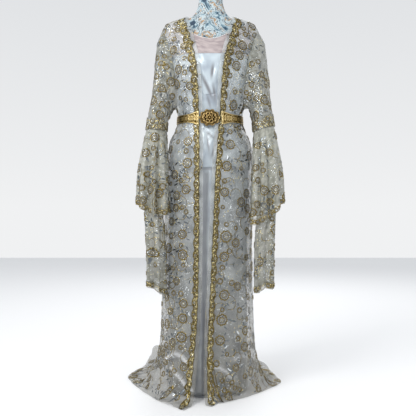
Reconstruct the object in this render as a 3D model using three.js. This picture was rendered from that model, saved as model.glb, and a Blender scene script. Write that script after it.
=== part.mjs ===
// Two-layer occasion kaftan on a limbless dress form.
// Millimetres. +Z is up, the front faces -Y and +X is the viewer's right.
// The origin is on the floor, under the middle of the waist.
import * as THREE from 'three';

// ---------------------------------------------------------------- driving dimensions
const CLOTH = 1.4;              // wall of net and satin
const TRIM = 1.6;               // wall of the lace border and the elbow bands
const SEAM = 0.3;               // gap between two pieces sewn edge to edge
const LAYER = CLOTH + 2.4;      // one cloth lying on another, clear of its facets
const YOKE_SINK = 1.6;          // how much closer the yoke lies over the shoulders
const NECK_TOP = 1540;          // top of the form's neck
const TORSO_BOTTOM = 800;       // underside of the form's torso
const WAIST = 1049;             // height of the belt's middle
const BELT_ZONE = 19;           // half of the straight stretch of cloth under the belt
const BUST_LINE = 1291;         // seam of the satin under the yoke
const TUNIC_HEM = 862;          // ledge where the tunic ends over the skirt
const SKIRT_TOP = 1000;         // skirt's top edge, hidden under the tunic
const SKIRT_HEM = 24;           // hem of the satin skirt at the sides
const SKIRT_LIFT = 30;          // how much higher the hem is at the middle of the front
const FLARE_TOP = 260;          // below this the robe spreads on to the floor
const FLARE_REACH = 150;        // widest that the spreading curve is before it lies flat
const NECK_POINT = 1456;        // where the robe's front edge meets the shoulder seam
const NET_STRIP = 12;           // plain net between the front edge and the gold line
const PLEAT = { angle: -5, half: 6.5, depth: 5, fade: 120 };  // skirt's centre pleat, degrees and mm
const SEAM_ANGLE = 0.09;        // half of the gap between two panels at a side seam, degrees
const YOKE_ZONE = { from: 1370, span: 40 };   // heights over which the yoke sinks closer

// Outer face of the satin under-layer: half width, depths to the front and back, side shift.
const FIGURE = [
  { z: 0, wide: 162, front: 140, back: 146, shift: -10 },
  { z: 343, wide: 160, front: 130, back: 138, shift: -10 },
  { z: 700, wide: 158, front: 120, back: 130, shift: -6 },
  { z: 860, wide: 157, front: 112, back: 124, shift: -3 },
  { z: 948, wide: 147, front: 104, back: 112, shift: 0 },
  { z: 1006, wide: 126, front: 94, back: 95, shift: 0 },
  { z: 1049, wide: 115, front: 88, back: 82, shift: 0 },
  { z: 1098, wide: 121, front: 93, back: 82, shift: 0 },
  { z: 1150, wide: 134, front: 104, back: 88, shift: 0 },
  { z: 1200, wide: 147, front: 114, back: 94, shift: 0 },
  { z: 1250, wide: 159, front: 117, back: 98, shift: 0 },
  { z: 1300, wide: 171, front: 104, back: 96, shift: 0 },
  { z: 1350, wide: 181, front: 82, back: 84, shift: 0 },
  { z: 1390, wide: 184, front: 63, back: 67, shift: 0 },
  { z: 1414, wide: 176, front: 54, back: 59, shift: 0 },
  { z: 1428, wide: 158, front: 52, back: 57, shift: 0 },
  { z: 1438, wide: 132, front: 53, back: 57, shift: 0 },
  { z: 1447, wide: 104, front: 55, back: 57, shift: 0 },
  { z: 1459, wide: 80, front: 56, back: 56, shift: 2 },
  { z: 1474, wide: 66, front: 54, back: 54, shift: 3 },
  { z: 1513, wide: 51, front: 50, back: 50, shift: 3 },
  { z: 1545, wide: 47, front: 47, back: 47, shift: 3 },
];

// How far the robe's outer face stands off the figure.
const ROBE_EASE = [
  { z: 260, ease: 16 }, { z: 343, ease: 14 }, { z: 700, ease: 13 }, { z: 860, ease: 13 },
  { z: 948, ease: 15 }, { z: 1006, ease: 12 }, { z: 1049, ease: 9 }, { z: 1098, ease: 11 },
  { z: 1150, ease: 10 }, { z: 1200, ease: 8 }, { z: 1250, ease: 6 }, { z: 1300, ease: 5 },
  { z: 1350, ease: 4 }, { z: 1400, ease: LAYER + 2.4 }, { z: 1440, ease: LAYER + 2.4 },
  { z: 1456, ease: LAYER }, { z: 1545, ease: LAYER },
];

// How far the form's face lies inside the figure.
const FORM_DEPTH = [
  { z: 790, depth: 12 }, { z: 948, depth: 10 }, { z: 1006, depth: 9 }, { z: 1049, depth: 7 },
  { z: 1150, depth: 5.4 }, { z: 1250, depth: 4.4 }, { z: 1300, depth: 4.4 }, { z: 1350, depth: 6 },
  { z: 1385, depth: 8.5 }, { z: 1412, depth: 8 }, { z: 1432, depth: LAYER + YOKE_SINK },
  { z: 1470, depth: LAYER + YOKE_SINK },
  { z: 1545, depth: 1 },
];

// The robe's upright folds: place, half width, height at the hem and height where each starts.
const ROBE_FOLDS = [
  { angle: -62, half: 13, rise: 7, from: 900, drift: 4 },
  { angle: -36, half: 9, rise: 5, from: 700, drift: -5 },
  { angle: 30, half: 9, rise: 5, from: 780, drift: 5 },
  { angle: 55, half: 12, rise: 8, from: 900, drift: -4 },
  { angle: 82, half: 10, rise: 6, from: 640, drift: 3 },
  { angle: 112, half: 13, rise: 10, from: 940, drift: 4 },
  { angle: 138, half: 12, rise: 12, from: 980, drift: 2 },
  { angle: 165, half: 13, rise: 14, from: 1000, drift: 0 },
  { angle: 192, half: 12, rise: 14, from: 1000, drift: -2 },
  { angle: 219, half: 13, rise: 12, from: 980, drift: 3 },
  { angle: 247, half: 12, rise: 9, from: 930, drift: -3 },
  { angle: 278, half: 10, rise: 6, from: 700, drift: -3 },
];

// Outline of the hem on the floor: reach from the origin for each angle from the front.
const HEM = [
  { angle: -180, reach: 600 }, { angle: -168, reach: 700 }, { angle: -160, reach: 780 },
  { angle: -152, reach: 600 }, { angle: -138, reach: 420 }, { angle: -112, reach: 362 },
  { angle: -85, reach: 276 }, { angle: -59, reach: 244 }, { angle: -40, reach: 262 },
  { angle: -22, reach: 288 }, { angle: -8, reach: 240 }, { angle: 5, reach: 216 },
  { angle: 20, reach: 196 }, { angle: 40, reach: 188 }, { angle: 60, reach: 196 },
  { angle: 76, reach: 222 }, { angle: 101, reach: 296 }, { angle: 125, reach: 340 },
  { angle: 150, reach: 470 }, { angle: 180, reach: 600 },
];

// Low waves where the robe lies on the floor: place, half width and height.
const FLOOR_WAVES = [
  { angle: -132, half: 16, rise: 16 }, { angle: -75, half: 14, rise: 12 },
  { angle: -38, half: 10, rise: 14 }, { angle: 88, half: 12, rise: 12 },
  { angle: 122, half: 13, rise: 16 }, { angle: 150, half: 12, rise: 20 },
  { angle: 176, half: 12, rise: 22 }, { angle: 212, half: 12, rise: 20 },
];

// Gold line of each front edge: side places, from the hem (level 0) up past the flare (level 1).
const EDGE = [
  { level: 0, left: -103, right: 18 }, { level: 0.2, left: -92, right: 6 },
  { level: 0.45, left: -78, right: -6 }, { level: 0.75, left: -61, right: -12 },
  { level: 1, left: -48, right: -9 }, { level: 1.15, left: -42, right: -1 },
  { level: 1.3, left: -40, right: 5 }, { level: 1.49, left: -38, right: 15 },
  { level: 1.6, left: -38, right: 19 }, { level: 1.71, left: -38, right: 26 },
  { level: 1.79, left: -40, right: 33 }, { level: 1.86, left: -42, right: 38 },
  { level: 1.937, left: -45, right: 42 }, { level: 1.994, left: -50, right: 48 },
  { level: 2.033, left: -57, right: 54 }, { level: 2.072, left: -66, right: 65 },
  { level: 2.117, left: -77, right: 76 }, { level: 2.156, left: -88, right: 86 },
  { level: 2.196, left: -94, right: 94 },
];

// Armholes: heights of the underarm and shoulder points, and how far the oval cuts in, degrees.
const ROBE_ARMHOLE = { low: 1098, high: 1408, cut: 32 };
const SLIP_ARMHOLE = { low: 1136, high: 1404, cut: 36 };
const ARMHOLE_STEPS = 10;       // rows of each half of an armhole

// The yoke's neck edge: height for each angle from the front.
const NECKLINE = [
  { angle: 0, z: 1364 }, { angle: 12, z: 1369 }, { angle: 25, z: 1385 },
  { angle: 45, z: 1410 }, { angle: 70, z: 1438 }, { angle: 90, z: 1448 },
];

// Sleeve rings: the outer and inner point of each as seen from the front, middle in y, half depth.
const SLEEVES = {
  left: [
    { outX: 207, outZ: 1352, inX: 141, inZ: 1094, y: -6, deep: 66 },
    { outX: 215, outZ: 1272, inX: 146, inZ: 1087, y: -12, deep: 64 },
    { outX: 222, outZ: 1196, inX: 151, inZ: 1076, y: -19, deep: 60 },
    { outX: 232, outZ: 1128, inX: 157, inZ: 1062, y: -27, deep: 56 },
    { outX: 240, outZ: 1066, inX: 163, inZ: 1044, y: -34, deep: 53 },
    { outX: 247, outZ: 1010, inX: 167, inZ: 1003, y: -40, deep: 52 },
  ],
  right: [
    { outX: 213, outZ: 1352, inX: 146, inZ: 1096, y: -6, deep: 66 },
    { outX: 220, outZ: 1276, inX: 149, inZ: 1090, y: -12, deep: 64 },
    { outX: 227, outZ: 1206, inX: 153, inZ: 1080, y: -19, deep: 60 },
    { outX: 233, outZ: 1144, inX: 158, inZ: 1064, y: -27, deep: 56 },
    { outX: 240, outZ: 1080, inX: 163, inZ: 1046, y: -34, deep: 53 },
    { outX: 248, outZ: 1024, inX: 166, inZ: 1002, y: -40, deep: 52 },
  ],
};
const CUFF_SPAN = 0.86;         // where along the sleeve the elbow band starts

// Middle line of both tiers of a flounce, which hang from the elbow and lean forward.
const FLOUNCE_LINE = [
  { z: 400, x: 204, y: -104 }, { z: 560, x: 206, y: -102 }, { z: 640, x: 210, y: -101 },
  { z: 700, x: 214, y: -99 }, { z: 820, x: 216, y: -92 }, { z: 900, x: 214, y: -78 },
  { z: 960, x: 210, y: -58 }, { z: 1008, x: 207, y: -40 },
];
// Wide upper tier and long narrow lower tier: half width, half depth and height of the flutes.
const UPPER_TIER = [
  { z: 640, wide: 59, deep: 42, fold: 9 }, { z: 800, wide: 57, deep: 43, fold: 8 },
  { z: 900, wide: 50, deep: 46, fold: 6 }, { z: 970, wide: 43, deep: 50, fold: 3 },
  { z: 1008, wide: 40, deep: 52, fold: 0 },
];
const LOWER_TIER = [
  { z: 400, wide: 30, deep: 32, fold: 9 }, { z: 620, wide: 32, deep: 29, fold: 7 },
  { z: 700, wide: 33, deep: 26, fold: 4 }, { z: 800, wide: 33, deep: 27, fold: 3 },
  { z: 900, wide: 34, deep: 32, fold: 2 }, { z: 970, wide: 36, deep: 42, fold: 1 },
  { z: 1008, wide: 38, deep: 50, fold: 0 },
];
// Hem of each tier, by the angle round it from the front towards the outer side.
const TIER_HEMS = {
  left: {
    upper: [
      { angle: 0, z: 684 }, { angle: 60, z: 712 }, { angle: 110, z: 722 },
      { angle: 180, z: 700 }, { angle: 250, z: 690 }, { angle: 310, z: 682 }, { angle: 360, z: 684 },
    ],
    lower: [
      { angle: 0, z: 404 }, { angle: 90, z: 418 }, { angle: 180, z: 404 },
      { angle: 270, z: 384 }, { angle: 320, z: 388 }, { angle: 360, z: 404 },
    ],
  },
  right: {
    upper: [
      { angle: 0, z: 662 }, { angle: 60, z: 716 }, { angle: 110, z: 728 },
      { angle: 180, z: 700 }, { angle: 250, z: 668 }, { angle: 310, z: 644 }, { angle: 360, z: 662 },
    ],
    lower: [
      { angle: 0, z: 410 }, { angle: 90, z: 404 }, { angle: 180, z: 412 },
      { angle: 270, z: 388 }, { angle: 320, z: 396 }, { angle: 360, z: 410 },
    ],
  },
};
const FLOUNCE_TOP = 1008;        // height where both tiers meet the sleeve
const FLOUNCE_RISE = { from: 900, span: 100 };  // heights over which the tops follow the elbow's slant
const FLOUNCE_GAP = 3 * SEAM;   // tiers to the sleeve's end
const UPPER_WAVES = 7;          // flutes round the upper tier
const LOWER_WAVES = 5;          // flutes round the lower tier

// Scalloped lace: its width by level, and the length of one scallop.
const LACE = [
  { level: 0, wide: 26 }, { level: 1.5, wide: 24 }, { level: 1.8, wide: 26 },
  { level: 1.95, wide: 30 }, { level: 2.1, wide: 34 }, { level: 2.2, wide: 34 },
];
const SCALLOP = 38;
const SCALLOP_ROWS = 3;         // rows of one scallop's outline
const SCALLOP_DEPTH = 0.26;     // share of the lace's width that a scallop cuts in
const LACE_CLEAR = { body: 2 * SEAM, flare: 27 * SEAM, span: 0.3 };  // lace to net, by level
const NECK_LACE = { from: 96, turn: 168, clear: 7 * SEAM, drop: 4, scallops: 6 };

// Belt and buckle.
const BELT_HEIGHT = 34;
const BELT_WALL = 1.6;
const BELT_CLEAR = 1.5;         // belt to robe, clear of the cloth's facets
const CLASP_CLEAR = 3.9;        // wings and buckle to robe, over the lace
const BELT_RIM = { rise: 1.2, place: 0.06, half: 0.12 };  // raised rims, places as shares of the height
const BUCKLE = { x: -2, wide: 36, high: 33, wall: 3.2, lobes: 10, lobe: 0.07 };
const DOME = { rise: 4.2, reach: 0.62 };                // raised middle of the buckle
const BUCKLE_RING = { rise: 1.3, at: 0.82, half: 0.16 };  // raised ring near its edge
const WING = { from: 40.5, to: 82, tall: 54, crown: 1.4 };

// Pole and foot of the form.
const POLE_RADIUS = 14;
const FOOT = { radius: 122, rim: 8, height: 20, bevel: { in: 10, up: 4 }, hub: 30.8 };

// ---------------------------------------------------------------- curves and walls
const RAD = Math.PI / 180;

/** Smooth curve through a table's rows that never overshoots them. */
function curve(rows, key, column) {
  const at = rows.map((row) => row[key]);
  const to = rows.map((row) => row[column]);
  const rise = at.slice(1).map((x, i) => (to[i + 1] - to[i]) / (x - at[i]));
  const slope = at.map((_, i) => {
    if (i === 0) return rise[0];
    if (i === at.length - 1) return rise[i - 1];
    const product = rise[i - 1] * rise[i];
    return product <= 0 ? 0 : (2 * product) / (rise[i - 1] + rise[i]);
  });
  return (x) => {
    if (x <= at[0]) return to[0];
    if (x >= at[at.length - 1]) return to[at.length - 1];
    let i = 0;
    while (x > at[i + 1]) i += 1;
    const step = at[i + 1] - at[i];
    const s = (x - at[i]) / step;
    return (1 + 2 * s) * (1 - s) ** 2 * to[i] + s * (1 - s) ** 2 * step * slope[i]
      + s * s * (3 - 2 * s) * to[i + 1] + s * s * (s - 1) * step * slope[i + 1];
  };
}

/** Round bump, 1 at 0 and 0 from -1 and 1 outwards. */
function bump(x) {
  return Math.abs(x) < 1 ? Math.cos((x * Math.PI) / 2) ** 2 : 0;
}

/** Value between 0 and 1 that eases in and out. */
function ease(x) {
  const s = Math.min(Math.max(x, 0), 1);
  return s * s * (3 - 2 * s);
}

/** Angle brought into -180 to 180 degrees. */
function wrapped(angle) {
  return ((((angle + 180) % 360) + 360) % 360) - 180;
}

/** Value along a list for a share 0 to 1, straight between its entries. */
function along(list, share) {
  const place = Math.min(Math.max(share, 0), 1) * (list.length - 1);
  const i = Math.min(Math.floor(place), list.length - 2);
  return list[i] + (place - i) * (list[i + 1] - list[i]);
}

/** Unit normal of a surface given by two shares. */
function normalAt(surface, u, v, closed) {
  const h = 1e-3;
  const low = closed ? u - h : Math.max(u - h, 0);
  const high = closed ? u + h : Math.min(u + h, 1);
  const across = surface(high, v).sub(surface(low, v));
  const up = surface(u, Math.min(v + h, 1)).sub(surface(u, Math.max(v - h, 0)));
  return across.cross(up).normalize();
}

/**
 * Cloth wall between an outer and an inner face, both grids of columns by rows.
 * The outer face is the surface plus its relief, and the inner one lies a wall's
 * thickness inside the surface.
 */
function cloth(name, material, spec) {
  const { surface, columns, rows, closed = false, side = 1, thick = CLOTH } = spec;
  const relief = spec.relief ?? (() => 0);
  const normal = spec.normal ?? ((u, v) => normalAt(surface, u, v, closed).multiplyScalar(side));
  const wide = closed ? columns : columns + 1;
  const face = wide * (rows + 1);
  const places = new Float64Array(face * 6);
  for (let j = 0; j <= rows; j += 1) {
    for (let i = 0; i < wide; i += 1) {
      const u = i / columns;
      const v = j / rows;
      const point = surface(u, v);
      const n = normal(u, v);
      const outer = point.clone().addScaledVector(n, relief(u, v));
      const inner = point.clone().addScaledVector(n, -thick);
      outer.toArray(places, (j * wide + i) * 3);
      inner.toArray(places, (face + j * wide + i) * 3);
    }
  }
  const index = [];
  const quad = (a, b, c, d) => {
    if (side > 0) index.push(a, b, c, a, c, d);
    else index.push(a, c, b, a, d, c);
  };
  const spot = (i, j) => j * wide + (closed ? i % columns : i);
  for (let j = 0; j < rows; j += 1) {
    for (let i = 0; i < columns; i += 1) {
      const corners = [spot(i, j), spot(i + 1, j), spot(i + 1, j + 1), spot(i, j + 1)];
      quad(...corners);
      const [a, b, c, d] = corners.map((corner) => corner + face);
      quad(a, d, c, b);
    }
  }
  for (let i = 0; i < columns; i += 1) {
    quad(spot(i + 1, 0), spot(i, 0), face + spot(i, 0), face + spot(i + 1, 0));
    quad(spot(i, rows), spot(i + 1, rows), face + spot(i + 1, rows), face + spot(i, rows));
  }
  for (let j = 0; !closed && j < rows; j += 1) {
    quad(spot(0, j), spot(0, j + 1), face + spot(0, j + 1), face + spot(0, j));
    quad(spot(columns, j + 1), spot(columns, j), face + spot(columns, j),
      face + spot(columns, j + 1));
  }
  return solid(name, material, places, index);
}

/** Named mesh from points and triangles. */
function solid(name, material, places, index) {
  const geometry = new THREE.BufferGeometry();
  geometry.setAttribute('position', new THREE.BufferAttribute(new Float32Array(places), 3));
  geometry.setIndex(index);
  geometry.computeVertexNormals();
  const mesh = new THREE.Mesh(geometry, material);
  mesh.name = name;
  return mesh;
}

// ---------------------------------------------------------------- the figure
const figureWide = curve(FIGURE, 'z', 'wide');
const figureFront = curve(FIGURE, 'z', 'front');
const figureBack = curve(FIGURE, 'z', 'back');
const figureShift = curve(FIGURE, 'z', 'shift');

/** Point on the figure's oval section at a height, moved out along its normal. */
function figure(angle, z, out) {
  const depth = Math.cos(angle * RAD) > 0 ? figureFront : figureBack;
  const h = 2;
  const sin = Math.sin(angle * RAD);
  const cos = Math.cos(angle * RAD);
  const wide = figureWide(z);
  const deep = depth(z);
  const widen = (figureWide(z + h) - figureWide(z - h)) / (2 * h);
  const deepen = (depth(z + h) - depth(z - h)) / (2 * h);
  const lean = (figureShift(z + h) - figureShift(z - h)) / (2 * h);
  const normal = new THREE.Vector3(
    deep * sin,
    -wide * cos,
    -(wide * deepen * cos * cos + deep * widen * sin * sin + deep * lean * sin),
  ).normalize();
  return new THREE.Vector3(figureShift(z) + wide * sin, -deep * cos, z)
    .addScaledVector(normal, out);
}

// ---------------------------------------------------------------- the robe
const robeEase = curve(ROBE_EASE, 'z', 'ease');
const hemReach = curve(HEM, 'angle', 'reach');
const edgeSide = { left: curve(EDGE, 'level', 'left'), right: curve(EDGE, 'level', 'right') };

/** Height of the robe's upright folds at an angle and height. */
function robeFold(angle, z) {
  return ROBE_FOLDS.reduce((sum, fold) => {
    const grow = ease((fold.from - z) / (fold.from - FLARE_TOP));
    const place = fold.angle + fold.drift * grow;
    return sum + fold.rise * grow * bump(wrapped(angle - place) / fold.half);
  }, 0);
}

/** Height of the low waves on the floor. */
function floorWave(angle) {
  return FLOOR_WAVES.reduce(
    (sum, wave) => sum + wave.rise * bump(wrapped(angle - wave.angle) / wave.half), 0);
}

/**
 * Point of the robe's outer face. Level 0 is the hem on the floor, 1 the top of the
 * flare, and each further 1 is a metre of height.
 */
function robe(angle, level) {
  if (level >= 1) {
    const z = FLARE_TOP + (level - 1) * 1000;
    return figure(angle, z, robeEase(z) + robeFold(angle, z));
  }
  const top = figure(angle, FLARE_TOP, robeEase(FLARE_TOP) + robeFold(angle, FLARE_TOP));
  const reach = hemReach(wrapped(angle));
  const hem = new THREE.Vector3(reach * Math.sin(angle * RAD), -reach * Math.cos(angle * RAD), 0);
  const way = hem.clone().sub(top).setZ(0);
  const length = way.length();
  const turn = Math.min(0.72 * length, FLARE_REACH);
  const bend = 0.42;            // level where the curve has come down to the floor
  const roundness = 1.25;       // power of the spreading curve
  let gone = turn;
  let height = CLOTH;
  if (level > bend) {
    const t = ((1 - level) / (1 - bend)) * 90 * RAD;
    gone = turn * (1 - Math.max(Math.cos(t), 0) ** roundness);
    height = CLOTH + (top.z - CLOTH) * (1 - Math.sin(t) ** roundness);
  } else {
    gone = turn + (length - turn) * (1 - level / bend);
  }
  const lift = floorWave(angle) * Math.sin(Math.PI * Math.min(level / 0.7, 1)) ** 2;
  const point = top.clone().addScaledVector(way, gone / length);
  point.z = height + lift * Math.min(1, length / FLARE_REACH);
  return point;
}

/** Angle at which the robe's front passes a side place at a level. */
function angleAt(x, level) {
  let low = -90;
  let high = 90;
  for (let i = 0; i < 26; i += 1) {
    const middle = (low + high) / 2;
    if (robe(middle, level).x < x) low = middle;
    else high = middle;
  }
  return (low + high) / 2;
}

/** Angle of a front edge at a level. */
function edgeAngle(hand, level) {
  const inward = hand === 'left' ? NET_STRIP : -NET_STRIP;
  return angleAt(edgeSide[hand](level) + inward, level);
}

/** Share of an armhole's cut at a height: 0 at its ends and 1 in its middle. */
function armholeCut(hole, z) {
  const middle = (hole.low + hole.high) / 2;
  const half = (hole.high - hole.low) / 2;
  const share = (z - middle) / half;
  return Math.abs(share) < 1 ? (1 - share * share) ** 0.4 : 0;
}

/** Angle of a panel's side at a height, where the armhole cuts into it. */
function sideAngle(hole, z) {
  return 90 - hole.cut * armholeCut(hole, z);
}

/** Heights of an armhole's rows, from the underarm to the shoulder. */
function armholeRows(hole) {
  const middle = (hole.low + hole.high) / 2;
  const half = (hole.high - hole.low) / 2;
  return Array.from({ length: ARMHOLE_STEPS + 1 },
    (_, i) => middle - half * Math.cos((i / ARMHOLE_STEPS) * Math.PI));
}

const levelOf = (z) => 1 + (z - FLARE_TOP) / 1000;
const zOf = (level) => FLARE_TOP + (level - 1) * 1000;

/** Point reached by going a distance over the robe's face from a place, square to its edge. */
function stepOver(angle, level, heading, distance) {
  const steps = 4;
  const place = { angle, level };
  const direction = heading.clone();
  for (let i = 0; i < steps; i += 1) {
    const here = robe(place.angle, place.level);
    const across = robe(place.angle + 0.2, place.level).sub(here).divideScalar(0.2);
    const up = robe(place.angle, place.level + 0.002).sub(here).divideScalar(0.002);
    const aa = across.dot(across);
    const au = across.dot(up);
    const uu = up.dot(up);
    const da = direction.dot(across) * (distance / steps);
    const du = direction.dot(up) * (distance / steps);
    const determinant = aa * uu - au * au;
    place.angle += (da * uu - du * au) / determinant;
    place.level += (du * aa - da * au) / determinant;
    const next = robe(place.angle, place.level);
    direction.copy(next).sub(here).normalize();
  }
  return place;
}

/** Outward normal of the robe at a place. */
function robeNormal(angle, level) {
  const across = robe(angle + 0.2, level).sub(robe(angle - 0.2, level));
  const up = robe(angle, level + 0.002).sub(robe(angle, Math.max(level - 0.002, 0)));
  return across.cross(up).normalize();
}

const laceWide = curve(LACE, 'level', 'wide');

// Rows of the robe's panels: level at the side seam and armhole, and at the middle or edge.
const LOWER_LEVELS = [
  0, 0.2, 0.42, 0.56, 0.7, 0.85, 1,
  ...[420, 640, 860, 948, 1006, WAIST - BELT_ZONE, WAIST + BELT_ZONE].map(levelOf),
];
const SIDE_LEVELS = [...LOWER_LEVELS, ...armholeRows(ROBE_ARMHOLE).map(levelOf)];
const EDGE_LEVELS = [
  ...LOWER_LEVELS,
  ...[1099, 1118, 1146, 1184, 1228, 1276, 1326, 1378, 1420, 1444, NECK_POINT].map(levelOf),
];
const ROBE_ROWS = SIDE_LEVELS.length - 1;
const FRONT_COLUMNS = 11;       // strip, lace and the rest of a front panel

/** Direction over the robe's face, square to a front edge and away from the opening. */
function edgeHeading(hand, level) {
  const edge = (at) => robe(edgeAngle(hand, at), at);
  const run = edge(level + 0.004).sub(edge(Math.max(level - 0.004, 0))).normalize();
  const side = hand === 'left' ? -1 : 1;
  return run.cross(robeNormal(edgeAngle(hand, level), level)).multiplyScalar(side);
}

/** Places of one row of a front panel: edge, gold line, lace's outer edge, then to the side. */
function frontRow(hand, row) {
  const side = hand === 'left' ? -1 : 1;
  const level = EDGE_LEVELS[row];
  const seam = sideAngle(ROBE_ARMHOLE, zOf(SIDE_LEVELS[row])) - SEAM_ANGLE;
  const end = { angle: side * seam, level: SIDE_LEVELS[row] };
  const onShoulder = row === ROBE_ROWS;
  const start = { angle: onShoulder ? end.angle : edgeAngle(hand, level), level };
  const heading = onShoulder
    ? new THREE.Vector3(side, 0, -0.4).normalize() : edgeHeading(hand, level);
  const places = [0, NET_STRIP, NET_STRIP + laceWide(level)].map((distance) => {
    const place = distance ? stepOver(start.angle, start.level, heading, distance) : start;
    const limit = Math.min(Math.abs(place.angle), 90 - SEAM_ANGLE);
    return { angle: side * (onShoulder ? seam : limit) * Math.sign(side * place.angle),
      level: place.level };
  });
  const rest = FRONT_COLUMNS - 2;
  const last = places[2];
  for (let i = 1; i <= rest; i += 1) {
    places.push({
      angle: last.angle + (end.angle - last.angle) * (i / rest),
      level: last.level + (end.level - last.level) * (i / rest),
    });
  }
  return places;
}

const FRONT_PLACES = Object.fromEntries(['left', 'right'].map((hand) => [
  hand, EDGE_LEVELS.map((_, row) => frontRow(hand, row)),
]));

/** Place between the rows and columns of a front panel, by its shares. */
function frontPlace(hand, u, v) {
  const rows = FRONT_PLACES[hand];
  const pick = (key) => along(rows.map((row) => along(row.map((place) => place[key]), u)), v);
  return { angle: pick('angle'), level: pick('level') };
}

/** One front panel of the robe, from its front edge to its side seam, armhole and shoulder. */
function robeFront(name, material, hand) {
  const surface = (u, v) => {
    const place = frontPlace(hand, u, v);
    return robe(place.angle, place.level);
  };
  return cloth(name, material, {
    surface, columns: FRONT_COLUMNS, rows: ROBE_ROWS, side: hand === 'left' ? -1 : 1,
  });
}

/** Back panel of the robe with its train, shoulders and neck edge. */
function robeBack(name, material) {
  const firstArmholeRow = LOWER_LEVELS.length;
  const surface = (u, v) => {
    const across = 2 * u - 1;
    const q = Math.abs(across);
    const level = along(SIDE_LEVELS, v);
    const seam = sideAngle(ROBE_ARMHOLE, zOf(level)) - SEAM_ANGLE;
    const upper = (v * ROBE_ROWS - firstArmholeRow) / (ROBE_ROWS - firstArmholeRow);
    const blend = Math.max(upper, 0);
    const topAngle = Math.min(q / 0.5, 1) * seam;
    const rise = (levelOf(NECK_POINT) - levelOf(ROBE_ARMHOLE.high)) * Math.min(2 - 2 * q, 1);
    const angle = Math.sign(across) * (q * seam * (1 - blend) + topAngle * blend);
    return robe(180 + angle, level + rise * blend);
  };
  return cloth(name, material, { surface, columns: 20, rows: ROBE_ROWS });
}

// ---------------------------------------------------------------- sleeves and flounces
/** Point of an armhole's seam, by the angle round it from the shoulder over the front. */
function armholePoint(side, turn, out) {
  const middle = (ROBE_ARMHOLE.low + ROBE_ARMHOLE.high) / 2;
  const half = (ROBE_ARMHOLE.high - ROBE_ARMHOLE.low) / 2;
  const z = middle + (half - SEAM) * Math.cos(turn);
  const cut = (ROBE_ARMHOLE.cut - 0.2) * armholeCut(ROBE_ARMHOLE, middle + half * Math.cos(turn));
  const angle = Math.sin(turn) >= 0 ? 90 - cut : 90 + cut;
  return figure(side * angle, z, robeEase(z) + out);
}

/** Point on a sleeve: turn runs round it from the outer side over the front, reach along it. */
function sleevePoint(hand, turn, reach) {
  const side = hand === 'left' ? -1 : 1;
  const rings = SLEEVES[hand];
  const place = reach * rings.length;
  const ring = (k) => {
    if (k === 0) return armholePoint(side, turn, 0);
    const row = rings[k - 1];
    const mid = new THREE.Vector3(side * (row.outX + row.inX) / 2, row.y, (row.outZ + row.inZ) / 2);
    const half = new THREE.Vector3(side * (row.outX - row.inX) / 2, 0, (row.outZ - row.inZ) / 2);
    return mid.addScaledVector(half, Math.cos(turn))
      .add(new THREE.Vector3(0, -row.deep * Math.sin(turn), 0));
  };
  const k = Math.min(Math.floor(place), rings.length - 1);
  return ring(k).lerp(ring(k + 1), place - k);
}

/** Straight sleeve from the armhole to the elbow. */
function sleeve(name, material, hand) {
  const side = hand === 'left' ? -1 : 1;
  const surface = (u, v) => sleevePoint(hand, u * 2 * Math.PI, v);
  const normal = (u, v) => {
    const turn = u * 2 * Math.PI;
    if (v > 0) return normalAt(surface, u, v, true).multiplyScalar(side);
    return armholePoint(side, turn, 1).sub(armholePoint(side, turn, 0)).normalize();
  };
  return cloth(name, material, {
    surface, normal, columns: 2 * ARMHOLE_STEPS, rows: SLEEVES[hand].length, closed: true, side,
  });
}

/** Stiff embroidered band round the sleeve's end. */
function cuffBand(name, material, hand) {
  const side = hand === 'left' ? -1 : 1;
  const inner = (u, v) => sleevePoint(hand, u * 2 * Math.PI, CUFF_SPAN + v * (1 - CUFF_SPAN));
  const surface = (u, v) => {
    const n = normalAt(inner, u, v, true).multiplyScalar(side);
    return inner(u, v).addScaledVector(n, SEAM + TRIM);
  };
  return cloth(name, material, {
    surface, columns: 2 * ARMHOLE_STEPS, rows: 1, closed: true, side, thick: TRIM,
  });
}

const flounceX = curve(FLOUNCE_LINE, 'z', 'x');
const flounceY = curve(FLOUNCE_LINE, 'z', 'y');

/** Fluted tube hanging from a sleeve's end. */
function flounce(name, material, hand, spec) {
  const { tier, hem, waves, columns, rows, phase } = spec;
  const side = hand === 'left' ? -1 : 1;
  const wideAt = curve(tier, 'z', 'wide');
  const deepAt = curve(tier, 'z', 'deep');
  const foldAt = curve(tier, 'z', 'fold');
  const hemAt = curve(hem, 'angle', 'z');
  const surface = (u, v) => {
    const angle = ((u % 1) + 1) % 1 * 360;
    const start = sleevePoint(hand, (90 - angle) * RAD, 1).z - FLOUNCE_GAP;
    const z = hemAt(angle) + v * (start - hemAt(angle));
    const slant = ease((z - FLOUNCE_RISE.from) / FLOUNCE_RISE.span) * (FLOUNCE_TOP - start);
    const line = Math.min(z + slant, FLOUNCE_TOP);
    const uneven = angle * RAD * waves + phase + 0.7 * Math.sin(2 * angle * RAD + phase);
    const out = foldAt(line) * Math.cos(uneven);
    const x = flounceX(line) + (wideAt(line) + out) * Math.sin(angle * RAD);
    const y = flounceY(line) - (deepAt(line) + out) * Math.cos(angle * RAD);
    return new THREE.Vector3(side * x, y, z);
  };
  return cloth(name, material, { surface, columns, rows, closed: true, side });
}

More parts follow.
